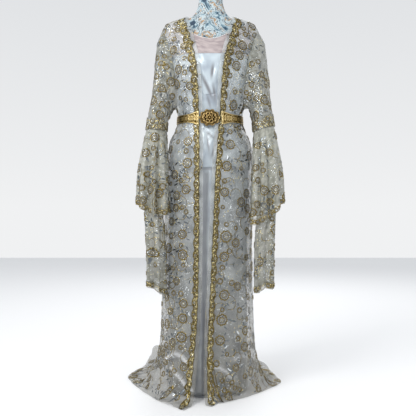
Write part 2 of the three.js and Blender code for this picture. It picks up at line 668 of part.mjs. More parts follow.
// ---------------------------------------------------------------- lace borders
/** Point on the flat facets of a grid of points, by its shares of columns and rows. */
function onFacets(grid, u, v) {
  const rows = grid.length - 1;
  const columns = grid[0].length - 1;
  const i = Math.min(Math.floor(u * columns + 1e-9), columns - 1);
  const j = Math.min(Math.floor(v * rows + 1e-9), rows - 1);
  const p = u * columns - i;
  const q = v * rows - j;
  const [a, b, c, d] = [grid[j][i], grid[j][i + 1], grid[j + 1][i + 1], grid[j + 1][i]];
  if (p > q) return a.clone().addScaledVector(b.clone().sub(a), p).addScaledVector(c.clone().sub(b), q);
  return a.clone().addScaledVector(d.clone().sub(a), q).addScaledVector(c.clone().sub(d), p);
}

/** Scalloped lace along one front edge, laid on the facets of its panel. */
function laceBorder(name, material, hand) {
  const grid = FRONT_PLACES[hand].map((row) => row.map((place) => robe(place.angle, place.level)));
  const shares = [0.004];
  const phases = [0];
  for (let row = 0; row < ROBE_ROWS - 1; row += 1) {
    const tall = grid[row][1].distanceTo(grid[row + 1][1]);
    const scallops = Math.max(Math.round(tall / SCALLOP), 1);
    const steps = scallops * SCALLOP_ROWS;
    for (let i = 1; i <= steps; i += 1) {
      shares.push((row + i / steps) / ROBE_ROWS);
      phases.push((i / SCALLOP_ROWS) * Math.PI);
    }
  }
  const surface = (u, v) => {
    const k = v * (shares.length - 1);
    const share = along(shares, v);
    const scallop = Math.abs(Math.sin(along(phases, v) * Math.sign(k % 1 || 1)));
    const wide = 1 - SCALLOP_DEPTH * (1 - Math.min(scallop * 1.15, 1));
    const column = (1 + u * wide) / FRONT_COLUMNS;
    const place = frontPlace(hand, column, share);
    const flare = ease((1 - place.level) / LACE_CLEAR.span);
    const clear = LACE_CLEAR.body + LACE_CLEAR.flare * flare;
    return onFacets(grid, column, share)
      .addScaledVector(robeNormal(place.angle, place.level), clear + TRIM);
  };
  const normal = (u, v) => {
    const place = frontPlace(hand, (1 + u) / FRONT_COLUMNS, along(shares, v));
    return robeNormal(place.angle, place.level);
  };
  return cloth(name, material, {
    surface, normal, columns: 1, rows: shares.length - 1,
    side: hand === 'left' ? -1 : 1, thick: TRIM,
  });
}

/** Scalloped lace round the back of the neck. */
function laceNeck(name, material) {
  const surface = (u, v) => {
    const angle = NECK_LACE.from + u * NECK_LACE.turn;
    const dip = 1 - Math.abs(Math.sin(u * NECK_LACE.scallops * Math.PI));
    const scallop = 1 - SCALLOP_DEPTH * dip;
    const wide = laceWide(levelOf(NECK_POINT)) * scallop;
    const start = levelOf(NECK_POINT - NECK_LACE.drop);
    const place = stepOver(angle, start, new THREE.Vector3(Math.sin(angle * RAD),
      -Math.cos(angle * RAD), -0.4).normalize(), (1 - v) * wide);
    return robe(place.angle, place.level)
      .addScaledVector(robeNormal(place.angle, place.level), NECK_LACE.clear + TRIM);
  };
  return cloth(name, material, {
    surface, columns: NECK_LACE.scallops * SCALLOP_ROWS, rows: 2, thick: TRIM,
  });
}

// ---------------------------------------------------------------- satin under-layer
/** Satin or yoke panel between two heights on the front or the back of the figure. */
function slipPanel(name, material, spec) {
  const { back = false, heights, columns, top = null } = spec;
  const bottom = heights[0];
  const surface = (u, v) => {
    const level = along(heights, v);
    let z = level;
    let angle = 0;
    for (let i = 0; i < 6; i += 1) {
      angle = (2 * u - 1) * (sideAngle(SLIP_ARMHOLE, z) - SEAM_ANGLE);
      if (top) {
        const share = (level - bottom) / (heights[heights.length - 1] - bottom);
        z = bottom + share * (top(Math.abs(angle)) - bottom);
      }
    }
    return figure(back ? 180 + angle : angle, z, -YOKE_SINK * ease((z - YOKE_ZONE.from) / YOKE_ZONE.span));
  };
  return cloth(name, material, { surface, columns, rows: heights.length - 1 });
}

// Columns of the skirt's front, close together at the pleat, and of its back.
const SKIRT_FRONT = [
  -89.9, -72, -54, -38, -24, -14, -10.5, -8, -5, -2, 0.5, 6, 18, 34, 52, 72, 89.9,
];
const SKIRT_BACK = [-89.9, -72, -54, -36, -18, 0, 18, 36, 54, 72, 89.9];
const SKIRT_HEIGHTS = [0, 130, 300, 470, 640, 780, 850, 930, SKIRT_TOP];

/** Half of the satin skirt, with the pleat in the front one. */
function slipSkirt(name, material, back) {
  const columns = back ? SKIRT_BACK : SKIRT_FRONT;
  const surface = (u, v) => {
    const angle = along(columns, u);
    const hem = SKIRT_HEM + (back ? 0 : SKIRT_LIFT * Math.cos(angle * RAD) ** 2);
    const z = hem + along(SKIRT_HEIGHTS, v) * ((SKIRT_TOP - hem) / SKIRT_TOP);
    const fall = ease((TUNIC_HEM - z) / PLEAT.fade);
    const pleat = back ? 0 : PLEAT.depth * bump((angle - PLEAT.angle) / PLEAT.half) * fall;
    return figure(back ? 180 + angle : angle, z, -LAYER - 2 * SEAM - pleat);
  };
  return cloth(name, material, {
    surface, columns: columns.length - 1, rows: SKIRT_HEIGHTS.length - 1,
  });
}

// ---------------------------------------------------------------- dress form
const formDepth = curve(FORM_DEPTH, 'z', 'depth');

/** Closed torso with its neck, limbless. */
function formTorso(name, material) {
  const around = 24;
  const heights = [
    TORSO_BOTTOM, 870, 948, 1006, WAIST, 1098, 1150, 1200, 1250, 1300, 1345, 1375, 1398, 1414,
    1424, 1433, 1440, 1447, 1456, 1468, 1490, 1518, NECK_TOP - 6, NECK_TOP,
  ];
  const places = [];
  const index = [];
  heights.forEach((z, j) => {
    const rim = j === heights.length - 1 ? 8 : 0;
    for (let i = 0; i < around; i += 1) {
      const point = figure((i / around) * 360, z, -formDepth(z) - rim);
      point.z = j === 0 || rim > 0 ? z : point.z;
      places.push(...point.toArray());
    }
  });
  for (let j = 0; j + 1 < heights.length; j += 1) {
    for (let i = 0; i < around; i += 1) {
      const next = (i + 1) % around;
      const a = j * around + i;
      const b = j * around + next;
      index.push(a, b, b + around, a, b + around, a + around);
    }
  }
  const low = places.length / 3;
  places.push(0, 0, TORSO_BOTTOM, figureShift(NECK_TOP), 0, NECK_TOP + 1);
  const last = (heights.length - 1) * around;
  for (let i = 0; i < around; i += 1) {
    const next = (i + 1) % around;
    index.push(low, next, i);
    index.push(low + 1, last + i, last + next);
  }
  return solid(name, material, places, index);
}

/** Turned solid about the upright axis from a profile that starts and ends on it. */
function turned(name, material, profile, around) {
  const points = profile.map(([radius, z]) => new THREE.Vector2(radius, z));
  const geometry = new THREE.LatheGeometry(points, around);
  geometry.rotateX(Math.PI / 2);
  const mesh = new THREE.Mesh(geometry, material);
  mesh.name = name;
  return mesh;
}

// ---------------------------------------------------------------- belt
/** Point over the robe at the waist: side angle and height over the belt's middle. */
function beltPoint(angle, rise, out) {
  const low = robe(angle, levelOf(WAIST - BELT_ZONE));
  const high = robe(angle, levelOf(WAIST + BELT_ZONE));
  return low.lerp(high, 0.5 + rise / (2 * BELT_ZONE))
    .addScaledVector(robeNormal(angle, levelOf(WAIST)), out);
}

/** Relief of the belt's metal across its height: a rim along each edge. */
function rimRelief(v) {
  const upper = bump((v - 1 + BELT_RIM.place) / BELT_RIM.half);
  return BELT_RIM.rise * Math.max(bump((v - BELT_RIM.place) / BELT_RIM.half), upper);
}

/** Band of the belt round the sides and back. */
function beltBand(name, material) {
  const start = angleAt(WING.to + SEAM, levelOf(WAIST));
  const end = 360 + angleAt(-WING.to - SEAM, levelOf(WAIST));
  const shares = [0, 0.12, 0.88, 1];
  const surface = (u, v) => beltPoint(
    start + u * (end - start), (along(shares, v) - 0.5) * BELT_HEIGHT,
    BELT_CLEAR + BELT_WALL);
  return cloth(name, material, {
    surface, columns: 28, rows: shares.length - 1, thick: BELT_WALL,
    relief: (u, v) => rimRelief(along(shares, v)),
  });
}

/** End piece of the belt that widens towards the buckle. */
function beltWing(name, material, hand) {
  const side = hand === 'left' ? -1 : 1;
  const surface = (u, v) => {
    const x = side * (WING.from + u * (WING.to - WING.from));
    const tall = WING.tall + (BELT_HEIGHT - WING.tall) * ease(u);
    return beltPoint(angleAt(x, levelOf(WAIST)), (v - 0.5) * tall, CLASP_CLEAR + BELT_WALL);
  };
  return cloth(name, material, {
    surface, columns: 6, rows: 4, side, thick: BELT_WALL,
    relief: (u, v) => WING.crown * bump(2 * v - 1) * (1 - 0.5 * u),
  });
}

/** Scalloped buckle plaque with a domed middle. */
function beltBuckle(name, material) {
  const disc = (u, v) => {
    const a = 2 * u - 1;
    const b = 2 * v - 1;
    return [a * Math.sqrt(1 - (b * b) / 2), b * Math.sqrt(1 - (a * a) / 2)];
  };
  const surface = (u, v) => {
    const [x, z] = disc(u, v);
    const reach = Math.hypot(x, z);
    const lobed = 1 + BUCKLE.lobe * Math.cos(BUCKLE.lobes * Math.atan2(z, x)) * reach ** 4;
    const angle = angleAt(BUCKLE.x + x * BUCKLE.wide * lobed, levelOf(WAIST));
    return beltPoint(angle, z * BUCKLE.high * lobed, CLASP_CLEAR + BUCKLE.wall);
  };
  const relief = (u, v) => {
    const [x, z] = disc(u, v);
    const reach = Math.hypot(x, z);
    const ring = BUCKLE_RING.rise * bump((reach - BUCKLE_RING.at) / BUCKLE_RING.half);
    return DOME.rise * bump(reach / DOME.reach) + ring;
  };
  return cloth(name, material, {
    surface, columns: 12, rows: 10, thick: BUCKLE.wall, relief,
  });
}

// ---------------------------------------------------------------- materials and assembly
const finish = (color, roughness, metalness = 0) => new THREE.MeshStandardMaterial(
  { color, roughness, metalness });
const NET = finish('#b9bcb8', 0.7);
const SATIN = finish('#c6d3de', 0.35);
const SHEER = finish('#e0cfd0', 0.6);
const GOLD_LACE = finish('#9c7f3c', 0.45, 0.5);
const GILT = finish('#b8913f', 0.35, 0.9);
const ANTIQUE = finish('#7a5a24', 0.4, 0.9);
const JERSEY = finish('#b9c4c8', 0.8);
const STEEL = finish('#8d9196', 0.4, 0.8);

const group = new THREE.Group();
group.add(
  formTorso('form_torso', JERSEY),
  turned('form_pole', STEEL, [
    [0, FOOT.height + SEAM], [POLE_RADIUS, FOOT.height + SEAM],
    [POLE_RADIUS, TORSO_BOTTOM - SEAM], [0, TORSO_BOTTOM - SEAM],
  ], 16),
  turned('form_base', STEEL, [
    [0, 0], [FOOT.radius, 0], [FOOT.radius, FOOT.rim],
    [FOOT.radius - FOOT.bevel.in, FOOT.rim + FOOT.bevel.up],
    [FOOT.hub, FOOT.height], [0, FOOT.height],
  ], 28),
);

const slipRows = armholeRows(SLIP_ARMHOLE).filter((z) => z < BUST_LINE - 12);
const tunicHeights = [TUNIC_HEM, 948, 1006, WAIST, 1092, ...slipRows, BUST_LINE];
const yokeHeights = [BUST_LINE + SEAM, 1322, 1350, 1374, 1392, 1406, 1418, 1429, 1439, 1448];
const neckline = curve(NECKLINE, 'angle', 'z');
group.add(
  slipPanel('slip_tunic_front', SATIN, { heights: tunicHeights, columns: 14 }),
  slipPanel('slip_tunic_back', SATIN, { heights: tunicHeights, columns: 12, back: true }),
  slipPanel('slip_yoke_front', SHEER, { heights: yokeHeights, columns: 14, top: neckline }),
  slipPanel('slip_yoke_back', SHEER, { heights: yokeHeights, columns: 12, back: true }),
  slipSkirt('slip_skirt_front', SATIN, false),
  slipSkirt('slip_skirt_back', SATIN, true),
);

group.add(
  robeFront('robe_front_left', NET, 'left'),
  robeFront('robe_front_right', NET, 'right'),
  robeBack('robe_back', NET),
);
for (const hand of ['left', 'right']) {
  const phase = hand === 'left' ? 0.4 : 1.6;
  group.add(
    sleeve(`sleeve_${hand}`, NET, hand),
    cuffBand(`cuff_band_${hand}`, GOLD_LACE, hand),
    flounce(`flounce_upper_${hand}`, NET, hand, {
      tier: UPPER_TIER, hem: TIER_HEMS[hand].upper, waves: UPPER_WAVES,
      columns: 38, rows: 5, phase,
    }),
    flounce(`flounce_lower_${hand}`, NET, hand, {
      tier: LOWER_TIER, hem: TIER_HEMS[hand].lower, waves: LOWER_WAVES,
      columns: 24, rows: 6, phase: phase + 1,
    }),
    laceBorder(`border_${hand}`, GOLD_LACE, hand),
    beltWing(`belt_wing_${hand}`, GILT, hand),
  );
}
group.add(
  laceNeck('border_neck', GOLD_LACE),
  beltBand('belt_band', GILT),
  beltBuckle('belt_buckle', ANTIQUE),
);

export default group;
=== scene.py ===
"""Two-layer occasion kaftan on a limbless dress form: cloth, needlework, lace and belt.

All sizes are millimetres, with +Z up, the front facing -Y and +X at the viewer's right.
"""
import logging
import math
from dataclasses import dataclass, field, replace
from enum import Enum
from typing import Callable, Iterable, Sequence

import bpy
import numpy as np
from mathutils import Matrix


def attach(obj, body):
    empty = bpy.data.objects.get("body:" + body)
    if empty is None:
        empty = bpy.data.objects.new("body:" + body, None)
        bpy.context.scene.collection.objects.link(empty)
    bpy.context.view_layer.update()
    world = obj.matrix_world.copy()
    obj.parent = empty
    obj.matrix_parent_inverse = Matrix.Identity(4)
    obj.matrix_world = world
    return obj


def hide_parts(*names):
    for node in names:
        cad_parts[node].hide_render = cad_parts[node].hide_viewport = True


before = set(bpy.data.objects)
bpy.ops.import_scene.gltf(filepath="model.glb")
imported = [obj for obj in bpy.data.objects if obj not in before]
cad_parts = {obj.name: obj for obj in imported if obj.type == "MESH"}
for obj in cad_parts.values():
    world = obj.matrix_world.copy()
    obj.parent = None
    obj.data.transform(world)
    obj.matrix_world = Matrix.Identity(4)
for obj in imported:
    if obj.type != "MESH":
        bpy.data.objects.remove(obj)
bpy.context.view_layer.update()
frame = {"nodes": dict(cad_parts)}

log = logging.getLogger("kaftan")
Array = np.ndarray
Rows = Sequence[Sequence[float]]

MM = 0.001                      # metres in a millimetre
CLOTH = 1.4                     # wall of the solids' cloth
TRIM = 1.6                      # wall of the lace and the elbow bands
SEAM = 0.3                      # gap between pieces sewn edge to edge
LAYER = CLOTH + 2.4             # one cloth lying on another
SINK = 1.6                      # how much closer the yoke lies over the shoulders
WAIST = 1049.0                  # height of the belt's middle
BELT_ZONE = 19.0                # half of the straight stretch of cloth under the belt
BUST_LINE = 1291.0              # seam of the satin under the yoke
TUNIC_HEM = 862.0               # ledge where the tunic ends over the skirt
SKIRT_TOP = 1000.0              # skirt's top edge, hidden under the tunic
SKIRT_HEM = 9.0                 # hem of the satin skirt at the sides
SKIRT_LIFT = 5.0                # how much higher the hem is at the middle of the front
FLARE_TOP = 260.0               # below this the robe spreads on to the floor
FLARE_REACH = 150.0             # widest that the spreading curve is before it lies flat
NECK_POINT = 1456.0             # where the front edge meets the shoulder seam
NET_STRIP = 12.0                # plain net between the front edge and the gold line
PLEAT_ANGLE = -5.0              # place of the skirt's centre pleat


class Hand(Enum):
    """Side of the garment as the viewer sees it, with the sign of its X."""

    LEFT = -1
    RIGHT = 1

    @property
    def word(self) -> str:
        """Name of the side in lower case."""
        return self.name.lower()


# ------------------------------------------------------------------ curves
def curve(rows: Rows, column: int = 1) -> Callable[[Array], Array]:
    """Smooth curve through a table's rows that never overshoots them.

    A cubic runs between each two rows; its slope at a row is the harmonic mean of the
    slopes on both sides, and zero at a peak.

    Args:
        rows: Table whose first column is the place.
        column: Column that holds the value.
    Returns:
        Function from places to values, flat outside the table.
    """
    table = np.array([[row[0], row[column]] for row in rows], float)
    at, to = table[:, 0], table[:, 1]
    rise = np.diff(to) / np.diff(at)
    product, total = rise[:-1] * rise[1:], rise[:-1] + rise[1:]
    middle = np.where(product > 0, 2 * product / np.where(total == 0, 1, total), 0)
    slope = np.concatenate([rise[:1], middle, rise[-1:]])

    def value(place: Array) -> Array:
        """Value of the curve at some places."""
        x = np.clip(np.asarray(place, float), at[0], at[-1])
        i = np.clip(np.searchsorted(at, x, side="right") - 1, 0, len(at) - 2)
        step = at[i + 1] - at[i]
        s = (x - at[i]) / step
        return ((1 + 2 * s) * (1 - s) ** 2 * to[i] + s * (1 - s) ** 2 * step * slope[i]
                + s * s * (3 - 2 * s) * to[i + 1] + s * s * (s - 1) * step * slope[i + 1])

    return value


def bump(x: Array) -> Array:
    """Round bump: squared cosine, 1 at 0 and 0 from -1 and 1 outwards."""
    return np.where(np.abs(x) < 1, np.cos(np.clip(x, -1, 1) * np.pi / 2) ** 2, 0.0)


def ease(x: Array) -> Array:
    """Value from 0 to 1 that starts and ends level."""
    s = np.clip(x, 0, 1)
    return s * s * (3 - 2 * s)


def wrapped(angle: Array) -> Array:
    """Angle brought into -180 to 180 degrees."""
    return (np.asarray(angle, float) + 180) % 360 - 180


def unit(vectors: Array) -> Array:
    """Vectors scaled to length one."""
    length = np.linalg.norm(vectors, axis=-1, keepdims=True)
    return vectors / np.where(length == 0, 1, length)


def linear(colour: str) -> tuple[float, float, float, float]:
    """Linear colour with full alpha from an sRGB hex value."""
    parts = [int(colour[i:i + 2], 16) / 255 for i in (1, 3, 5)]
    low_end = 0.04045
    flat = [p / 12.92 if p <= low_end else ((p + 0.055) / 1.055) ** 2.4 for p in parts]
    return (flat[0], flat[1], flat[2], 1.0)


# ------------------------------------------------------------------ the view
@dataclass(frozen=True)
class FrontView:
    """Camera in front of the garment, and where it sees a point in its square frame."""

    place: tuple[float, float, float] = (-8.0, -2360.0, 715.0)
    tilt: float = 0.15          # degrees down
    focal: float = 600.0        # in the frame's units
    frame: float = 416.0        # side of the square frame, units
    sensor: float = 36.0

    def project(self, points: Array) -> Array:
        """Place in the frame: right and down, by the pinhole rule focal x offset / depth.

        Args:
            points: Array whose last axis is x, y, z.
        Returns:
            Array whose last axis is the place in the frame, y downwards.
        """
        away = points - np.array(self.place)
        cos, sin = math.cos(math.radians(self.tilt)), math.sin(math.radians(self.tilt))
        depth = away[..., 1] * cos - away[..., 2] * sin
        rise = away[..., 2] * cos + away[..., 1] * sin
        half = self.frame / 2
        return np.stack([half + self.focal * away[..., 0] / depth,
                         half - self.focal * rise / depth], axis=-1)

    def build(self) -> bpy.types.Object:
        """Makes the camera of this view and sets it as the scene's."""
        data = bpy.data.cameras.new("front_view")
        data.sensor_width = self.sensor
        data.lens = self.sensor * self.focal / self.frame
        data.clip_start, data.clip_end = 0.05, 50
        camera = bpy.data.objects.new("front_view", data)
        camera.location = [value * MM for value in self.place]
        camera.rotation_euler = (math.radians(90 - self.tilt), 0, 0)
        bpy.context.scene.collection.objects.link(camera)
        bpy.context.scene.camera = camera
        return camera


VIEW = FrontView()


# ------------------------------------------------------------------ surfaces
@dataclass
class Patch:
    """Cloth face as a grid of points: rows along v, columns along u."""

    points: Array               # rows x columns x 3
    closed: bool = False        # the last column joins the first
    side: int = 1               # -1 where u runs to the viewer's left of the outer face
    normals: Array = field(init=False)

    def __post_init__(self) -> None:
        """Works out the outward normal at each point from its neighbours."""
        if self.closed:
            ring = np.concatenate([self.points[:, -1:], self.points, self.points[:, :1]], 1)
            along = (ring[:, 2:] - ring[:, :-2]) / 2
        else:
            along = np.gradient(self.points, axis=1)
        up = np.gradient(self.points, axis=0)
        self.normals = unit(np.cross(along, up)) * self.side

    def _grid(self, field_: Array, u: Array, v: Array) -> Array:
        """Straight interpolation of a field over the grid at shares u and v."""
        rows, columns = field_.shape[:2]
        spans = columns if self.closed else columns - 1
        x = np.asarray(u, float) * spans
        y = np.clip(np.asarray(v, float), 0, 1) * (rows - 1)
        if not self.closed:
            x = np.clip(x, 0, spans)
        j = np.clip(np.floor(y).astype(int), 0, rows - 2)
        i = np.floor(x).astype(int)
        if not self.closed:
            i = np.clip(i, 0, spans - 1)
        p, q = (x - i)[..., None], (y - j)[..., None]
        a, b = i % columns, (i + 1) % columns
        low = field_[j, a] * (1 - p) + field_[j, b] * p
        high = field_[j + 1, a] * (1 - p) + field_[j + 1, b] * p
        return low * (1 - q) + high * q

    def at(self, u: Array, v: Array, out: Array | float = 0.0) -> Array:
        """Points at shares u and v, moved out along the normal.

        Args:
            u: Shares across the grid.
            v: Shares up the grid.
            out: Distance along the outward normal.
        Returns:
            Points in millimetres.
        """
        lift = np.asarray(out, float)
        lift = lift[..., None] if lift.ndim else lift
        return self._grid(self.points, u, v) + unit(self._grid(self.normals, u, v)) * lift

    def spread(self, u: float, v: float, flat: Array, turn: float = 0.0) -> tuple[Array, Array]:
        """Shares of flat places laid on the cloth round a centre.

        The flat x runs across the outer face to the right and y up it. Both are carried
        into u and v through the two slopes of the grid at the centre.

        Args:
            u: Share of the centre across.
            v: Share of the centre up.
            flat: Places in millimetres, last axis x, y.
            turn: Turn of the whole figure, in radians, anticlockwise.
        Returns:
            The shares u and v of each place.
        """
        h = 0.004
        du = (self.at(u + h, v) - self.at(u - h, v)) / (2 * h)
        if not self.closed and (u < h or u > 1 - h):
            low, high = max(u - h, 0.0), min(u + h, 1.0)
            du = (self.at(high, v) - self.at(low, v)) / (high - low)
        low, high = max(v - h, 0.0), min(v + h, 1.0)
        dv = (self.at(u, high) - self.at(u, low)) / (high - low)
        normal = unit(self._grid(self.normals, u, v))
        up = unit(dv - normal * (dv @ normal))
        right = np.cross(up, normal)
        matrix = np.array([[du @ right, dv @ right], [du @ up, dv @ up]])
        if abs(np.linalg.det(matrix)) < 1e-6:
            return np.full(flat.shape[:-1], u), np.full(flat.shape[:-1], v)
        cos, sin = math.cos(turn), math.sin(turn)
        turned = flat @ np.array([[cos, sin], [-sin, cos]])
        shares = turned @ np.linalg.inv(matrix).T
        return u + shares[..., 0], v + shares[..., 1]

    def locate(self, x: float, y: float) -> tuple[float, float]:
        """Shares of the grid point that the front view sees nearest to a place.

        Args:
            x: Place across the view's frame.
            y: Place down the view's frame.
        Returns:
            The shares u and v.
        """
        seen = VIEW.project(self.points)
        away = np.linalg.norm(seen - np.array([x, y]), axis=-1)
        facing = ((np.array(VIEW.place) - self.points) * self.normals).sum(-1) > 0
        away = np.where(facing, away, away + 50)
        j, i = np.unravel_index(np.argmin(away), away.shape)
        spans = self.points.shape[1] - (0 if self.closed else 1)
        return i / spans, j / (self.points.shape[0] - 1)


def grid_faces(rows: int, columns: int, closed: bool, flip: bool) -> Array:
    """Four-cornered faces of a grid of points, row by row.

    Args:
        rows: Rows of points.
        columns: Columns of points.
        closed: Joins the last column to the first.
        flip: Turns the faces round.
    Returns:
        Array of corners, one face a line.
    """
    across = columns if closed else columns - 1
    j, i = np.meshgrid(np.arange(rows - 1), np.arange(across), indexing="ij")
    j, i = j.ravel(), i.ravel()
    n = (i + 1) % columns
    faces = np.stack([j * columns + i, j * columns + n, (j + 1) * columns + n,
                      (j + 1) * columns + i], axis=1)
    return faces[:, ::-1] if flip else faces


def make_mesh(name: str, points: Array, faces: Array | list, materials: Sequence,
              slots: Array | None = None, uv: Array | None = None) -> bpy.types.Object:
    """Mesh object from points in millimetres, smooth shaded, at the origin.

    Args:
        name: Name of the object.
        points: Corner points, one a line.
        faces: Corners of each face.
        materials: Materials in the order of the slots.
        slots: Slot of each face.
        uv: Place of each point in millimetres of flat cloth, kept as its UV.
    Returns:
        The object, linked into the scene.
    """
    mesh = bpy.data.meshes.new(name)
    corners = faces.tolist() if isinstance(faces, np.ndarray) else faces
    mesh.from_pydata((points * MM).tolist(), [], corners)
    mesh.shade_smooth()
    for material in materials:
        mesh.materials.append(material)
    if slots is not None:
        mesh.polygons.foreach_set("material_index", np.asarray(slots, np.int32))
    if uv is not None:
        layer = mesh.uv_layers.new(name="cloth")
        index = np.empty(len(mesh.loops), np.int32)
        mesh.loops.foreach_get("vertex_index", index)
        layer.data.foreach_set("uv", (uv[index] * MM).astype(np.float32).ravel())
    mesh.validate()
    mesh.update()
    thing = bpy.data.objects.new(name, mesh)
    bpy.context.scene.collection.objects.link(thing)
    return thing


def flat_places(points: Array) -> Array:
    """Flat place of each grid point: the mean row length run across and the mean rise up."""
    step_u = np.linalg.norm(np.diff(points, axis=1), axis=-1)
    across = np.concatenate([np.zeros((points.shape[0], 1)), np.cumsum(step_u, 1)], 1)
    step_v = np.linalg.norm(np.diff(points, axis=0), axis=-1).mean(1)
    up = np.concatenate([[0.0], np.cumsum(step_v)])
    return np.stack([across, np.broadcast_to(up[:, None], across.shape)], -1).reshape(-1, 2)


def cloth_sheet(name: str, patch: Patch, material: bpy.types.Material) -> bpy.types.Object:
    """Single face of cloth on a patch, with its weave's places as UV."""
    rows, columns = patch.points.shape[:2]
    faces = grid_faces(rows, columns, patch.closed, patch.side < 0)
    return make_mesh(name, patch.points.reshape(-1, 3), faces, [material],
                     uv=flat_places(patch.points))


def cloth_shell(name: str, patch: Patch, material: bpy.types.Material,
                wall: float) -> bpy.types.Object:
    """Closed thin cloth: the patch, the same face one wall further in, and its rims."""
    rows, columns = patch.points.shape[:2]
    count = rows * columns
    outer = patch.points.reshape(-1, 3)
    inner = (patch.points - patch.normals * wall).reshape(-1, 3)
    flip = patch.side < 0
    faces = [grid_faces(rows, columns, patch.closed, flip),
             grid_faces(rows, columns, patch.closed, not flip) + count]
    ring = np.arange(columns if patch.closed else columns - 1)
    after = (ring + 1) % columns
    top = (rows - 1) * columns
    rims = [np.stack([after, ring, ring + count, after + count], 1),
            np.stack([top + ring, top + after, top + after + count, top + ring + count], 1)]
    if not patch.closed:
        side = np.arange(rows - 1) * columns
        rims.append(np.stack([side, side + columns, side + columns + count, side + count], 1))
        side = side + columns - 1
        rims.append(np.stack([side + columns, side, side + count, side + columns + count], 1))
    faces += [rim[:, ::-1] if flip else rim for rim in rims]
    uv = flat_places(patch.points)
    return make_mesh(name, np.concatenate([outer, inner]), np.concatenate(faces), [material],
                     uv=np.concatenate([uv, uv]))


def mark_points(piece: bpy.types.Object, name: str, values: Array) -> None:
    """Stores one number on each point of a mesh.

    Args:
        piece: Piece.
        name: Name of the attribute.
        values: Numbers in the order of the points.
    """
    layer = piece.data.attributes.new(name, "FLOAT", "POINT")
    layer.data.foreach_set("value", values.astype(np.float32).ravel())


# ------------------------------------------------------------------ the figure
FIGURE_ROWS: Rows = (           # height, half width, depth to the front and back, side shift
    (0, 162, 140, 146, -10), (343, 160, 130, 138, -10), (700, 158, 120, 130, -6),
    (860, 157, 112, 124, -3), (948, 147, 104, 112, 0), (1006, 126, 94, 95, 0),
    (1049, 115, 88, 82, 0), (1098, 121, 93, 82, 0), (1150, 134, 104, 88, 0),
    (1200, 147, 114, 94, 0), (1250, 159, 117, 98, 0), (1300, 171, 104, 96, 0),
    (1350, 181, 82, 84, 0), (1390, 184, 63, 67, 0), (1414, 176, 54, 59, 0),
    (1428, 158, 52, 57, 0), (1438, 132, 53, 57, 0), (1447, 104, 55, 57, 0),
    (1459, 80, 56, 56, 2), (1474, 66, 54, 54, 3), (1513, 51, 50, 50, 3),
    (1545, 47, 47, 47, 3),
)
ROBE_EASE: Rows = (             # height, distance of the robe from the figure
    (260, 16), (343, 14), (700, 13), (860, 13), (948, 15), (1006, 12), (1049, 9), (1098, 11),
    (1150, 10), (1200, 8), (1250, 6), (1300, 5), (1350, 4), (1400, LAYER + 2.4),
    (1440, LAYER + 2.4), (1456, LAYER), (1545, LAYER),
)
ROBE_FOLDS: Rows = (            # place, half width, height at the hem, upper end, drift
    (-62, 13, 7, 900, 4), (-36, 9, 5, 700, -5), (30, 9, 5, 780, 5), (55, 12, 8, 900, -4),
    (82, 10, 6, 640, 3), (112, 13, 10, 940, 4), (138, 12, 12, 980, 2), (165, 13, 14, 1000, 0),
    (192, 12, 14, 1000, -2), (219, 13, 12, 980, 3), (247, 12, 9, 930, -3), (278, 10, 6, 700, -3),
)
SMALL_FOLDS: Rows = (           # narrower folds between the wide ones, same columns
    (-74, 5, 3.5, 1010, 3), (-50, 4, 3.0, 820, -2), (-42, 3.5, 2.2, 560, 3), (42, 4, 3.0, 640, 2),
    (66, 4.5, 3.4, 990, -3), (94, 4, 3.6, 760, 2), (124, 5, 4.2, 1000, -2), (151, 5, 5.0, 960, 2),
    (178, 4.5, 5.0, 1010, 1), (205, 5, 4.6, 940, -3), (233, 5, 4.4, 1000, 2), (262, 4, 3.4, 820, 3),
)
HEM: Rows = (                   # angle from the front, reach of the hem on the floor
    (-180, 600), (-168, 700), (-160, 780), (-152, 600), (-138, 440), (-121, 392), (-115, 380),
    (-106, 338), (-85, 274), (-62, 252), (-44, 262), (-24, 288), (-8, 240), (4, 222),
    (17, 197), (34, 180), (55, 184), (76, 210), (90, 240), (100, 280), (104, 297), (117, 316),
    (131, 350), (150, 470), (180, 600),
)
FLOOR_WAVES: Rows = (           # place, half width and height of the waves on the floor
    (-132, 16, 16), (-75, 14, 12), (-38, 10, 14), (88, 12, 12), (122, 13, 16), (150, 12, 20),
    (176, 12, 22), (212, 12, 20),
)
FLOOR_CREASES: Rows = (         # angle, half width, height, level of the crest and its spread
    (-66, 5, 7, 0.44, 0.20), (-55, 4, 6, 0.30, 0.22), (-46, 4, 8, 0.50, 0.16),
    (-30, 4, 8, 0.36, 0.22), (-18, 4, 7, 0.52, 0.18), (-97, 5, 7, 0.42, 0.2),
    (-118, 6, 9, 0.5, 0.24), (-146, 5, 9, 0.4, 0.3), (-170, 5, 8, 0.5, 0.3), (28, 5, 5, 0.5, 0.16),
    (50, 5, 6, 0.42, 0.2), (68, 5, 8, 0.5, 0.2), (104, 6, 8, 0.42, 0.24), (137, 6, 9, 0.46, 0.28),
    (163, 5, 9, 0.36, 0.3), (190, 5, 9, 0.5, 0.3),
)
# Sharp folds over the flare where the cloth slumps. Each has its height and half width in mm,
# then the angles and levels of its crest. The crests are also marked pale in the net's colour,
# which is painted light and not a reflection.
SLUMPS: tuple[tuple[float, float, Rows], ...] = (
    (9, 7.5, ((-58, 0.775), (-50, 0.807), (-41, 0.834), (-31, 0.820), (-24, 0.79))),
    (10, 6.5, ((-45, 0.748), (-41, 0.736), (-30, 0.699), (-22, 0.654), (-17, 0.62))),
    (7, 6.5, ((1, 0.745), (5, 0.765), (14, 0.757), (22, 0.731), (27, 0.69))),
    (5, 8, ((33, 0.80), (44, 0.815), (56, 0.80), (64, 0.76))),
)
SLUMP_SHINE = 8.0               # height of a fold at which the painted highlight on its top is palest, mm
SLUMP_SHARP = 1.6               # power that narrows the painted highlight
SLUMP_SCALE = (3.0, 620.0)      # mm across the flare in a degree, and down it in a level


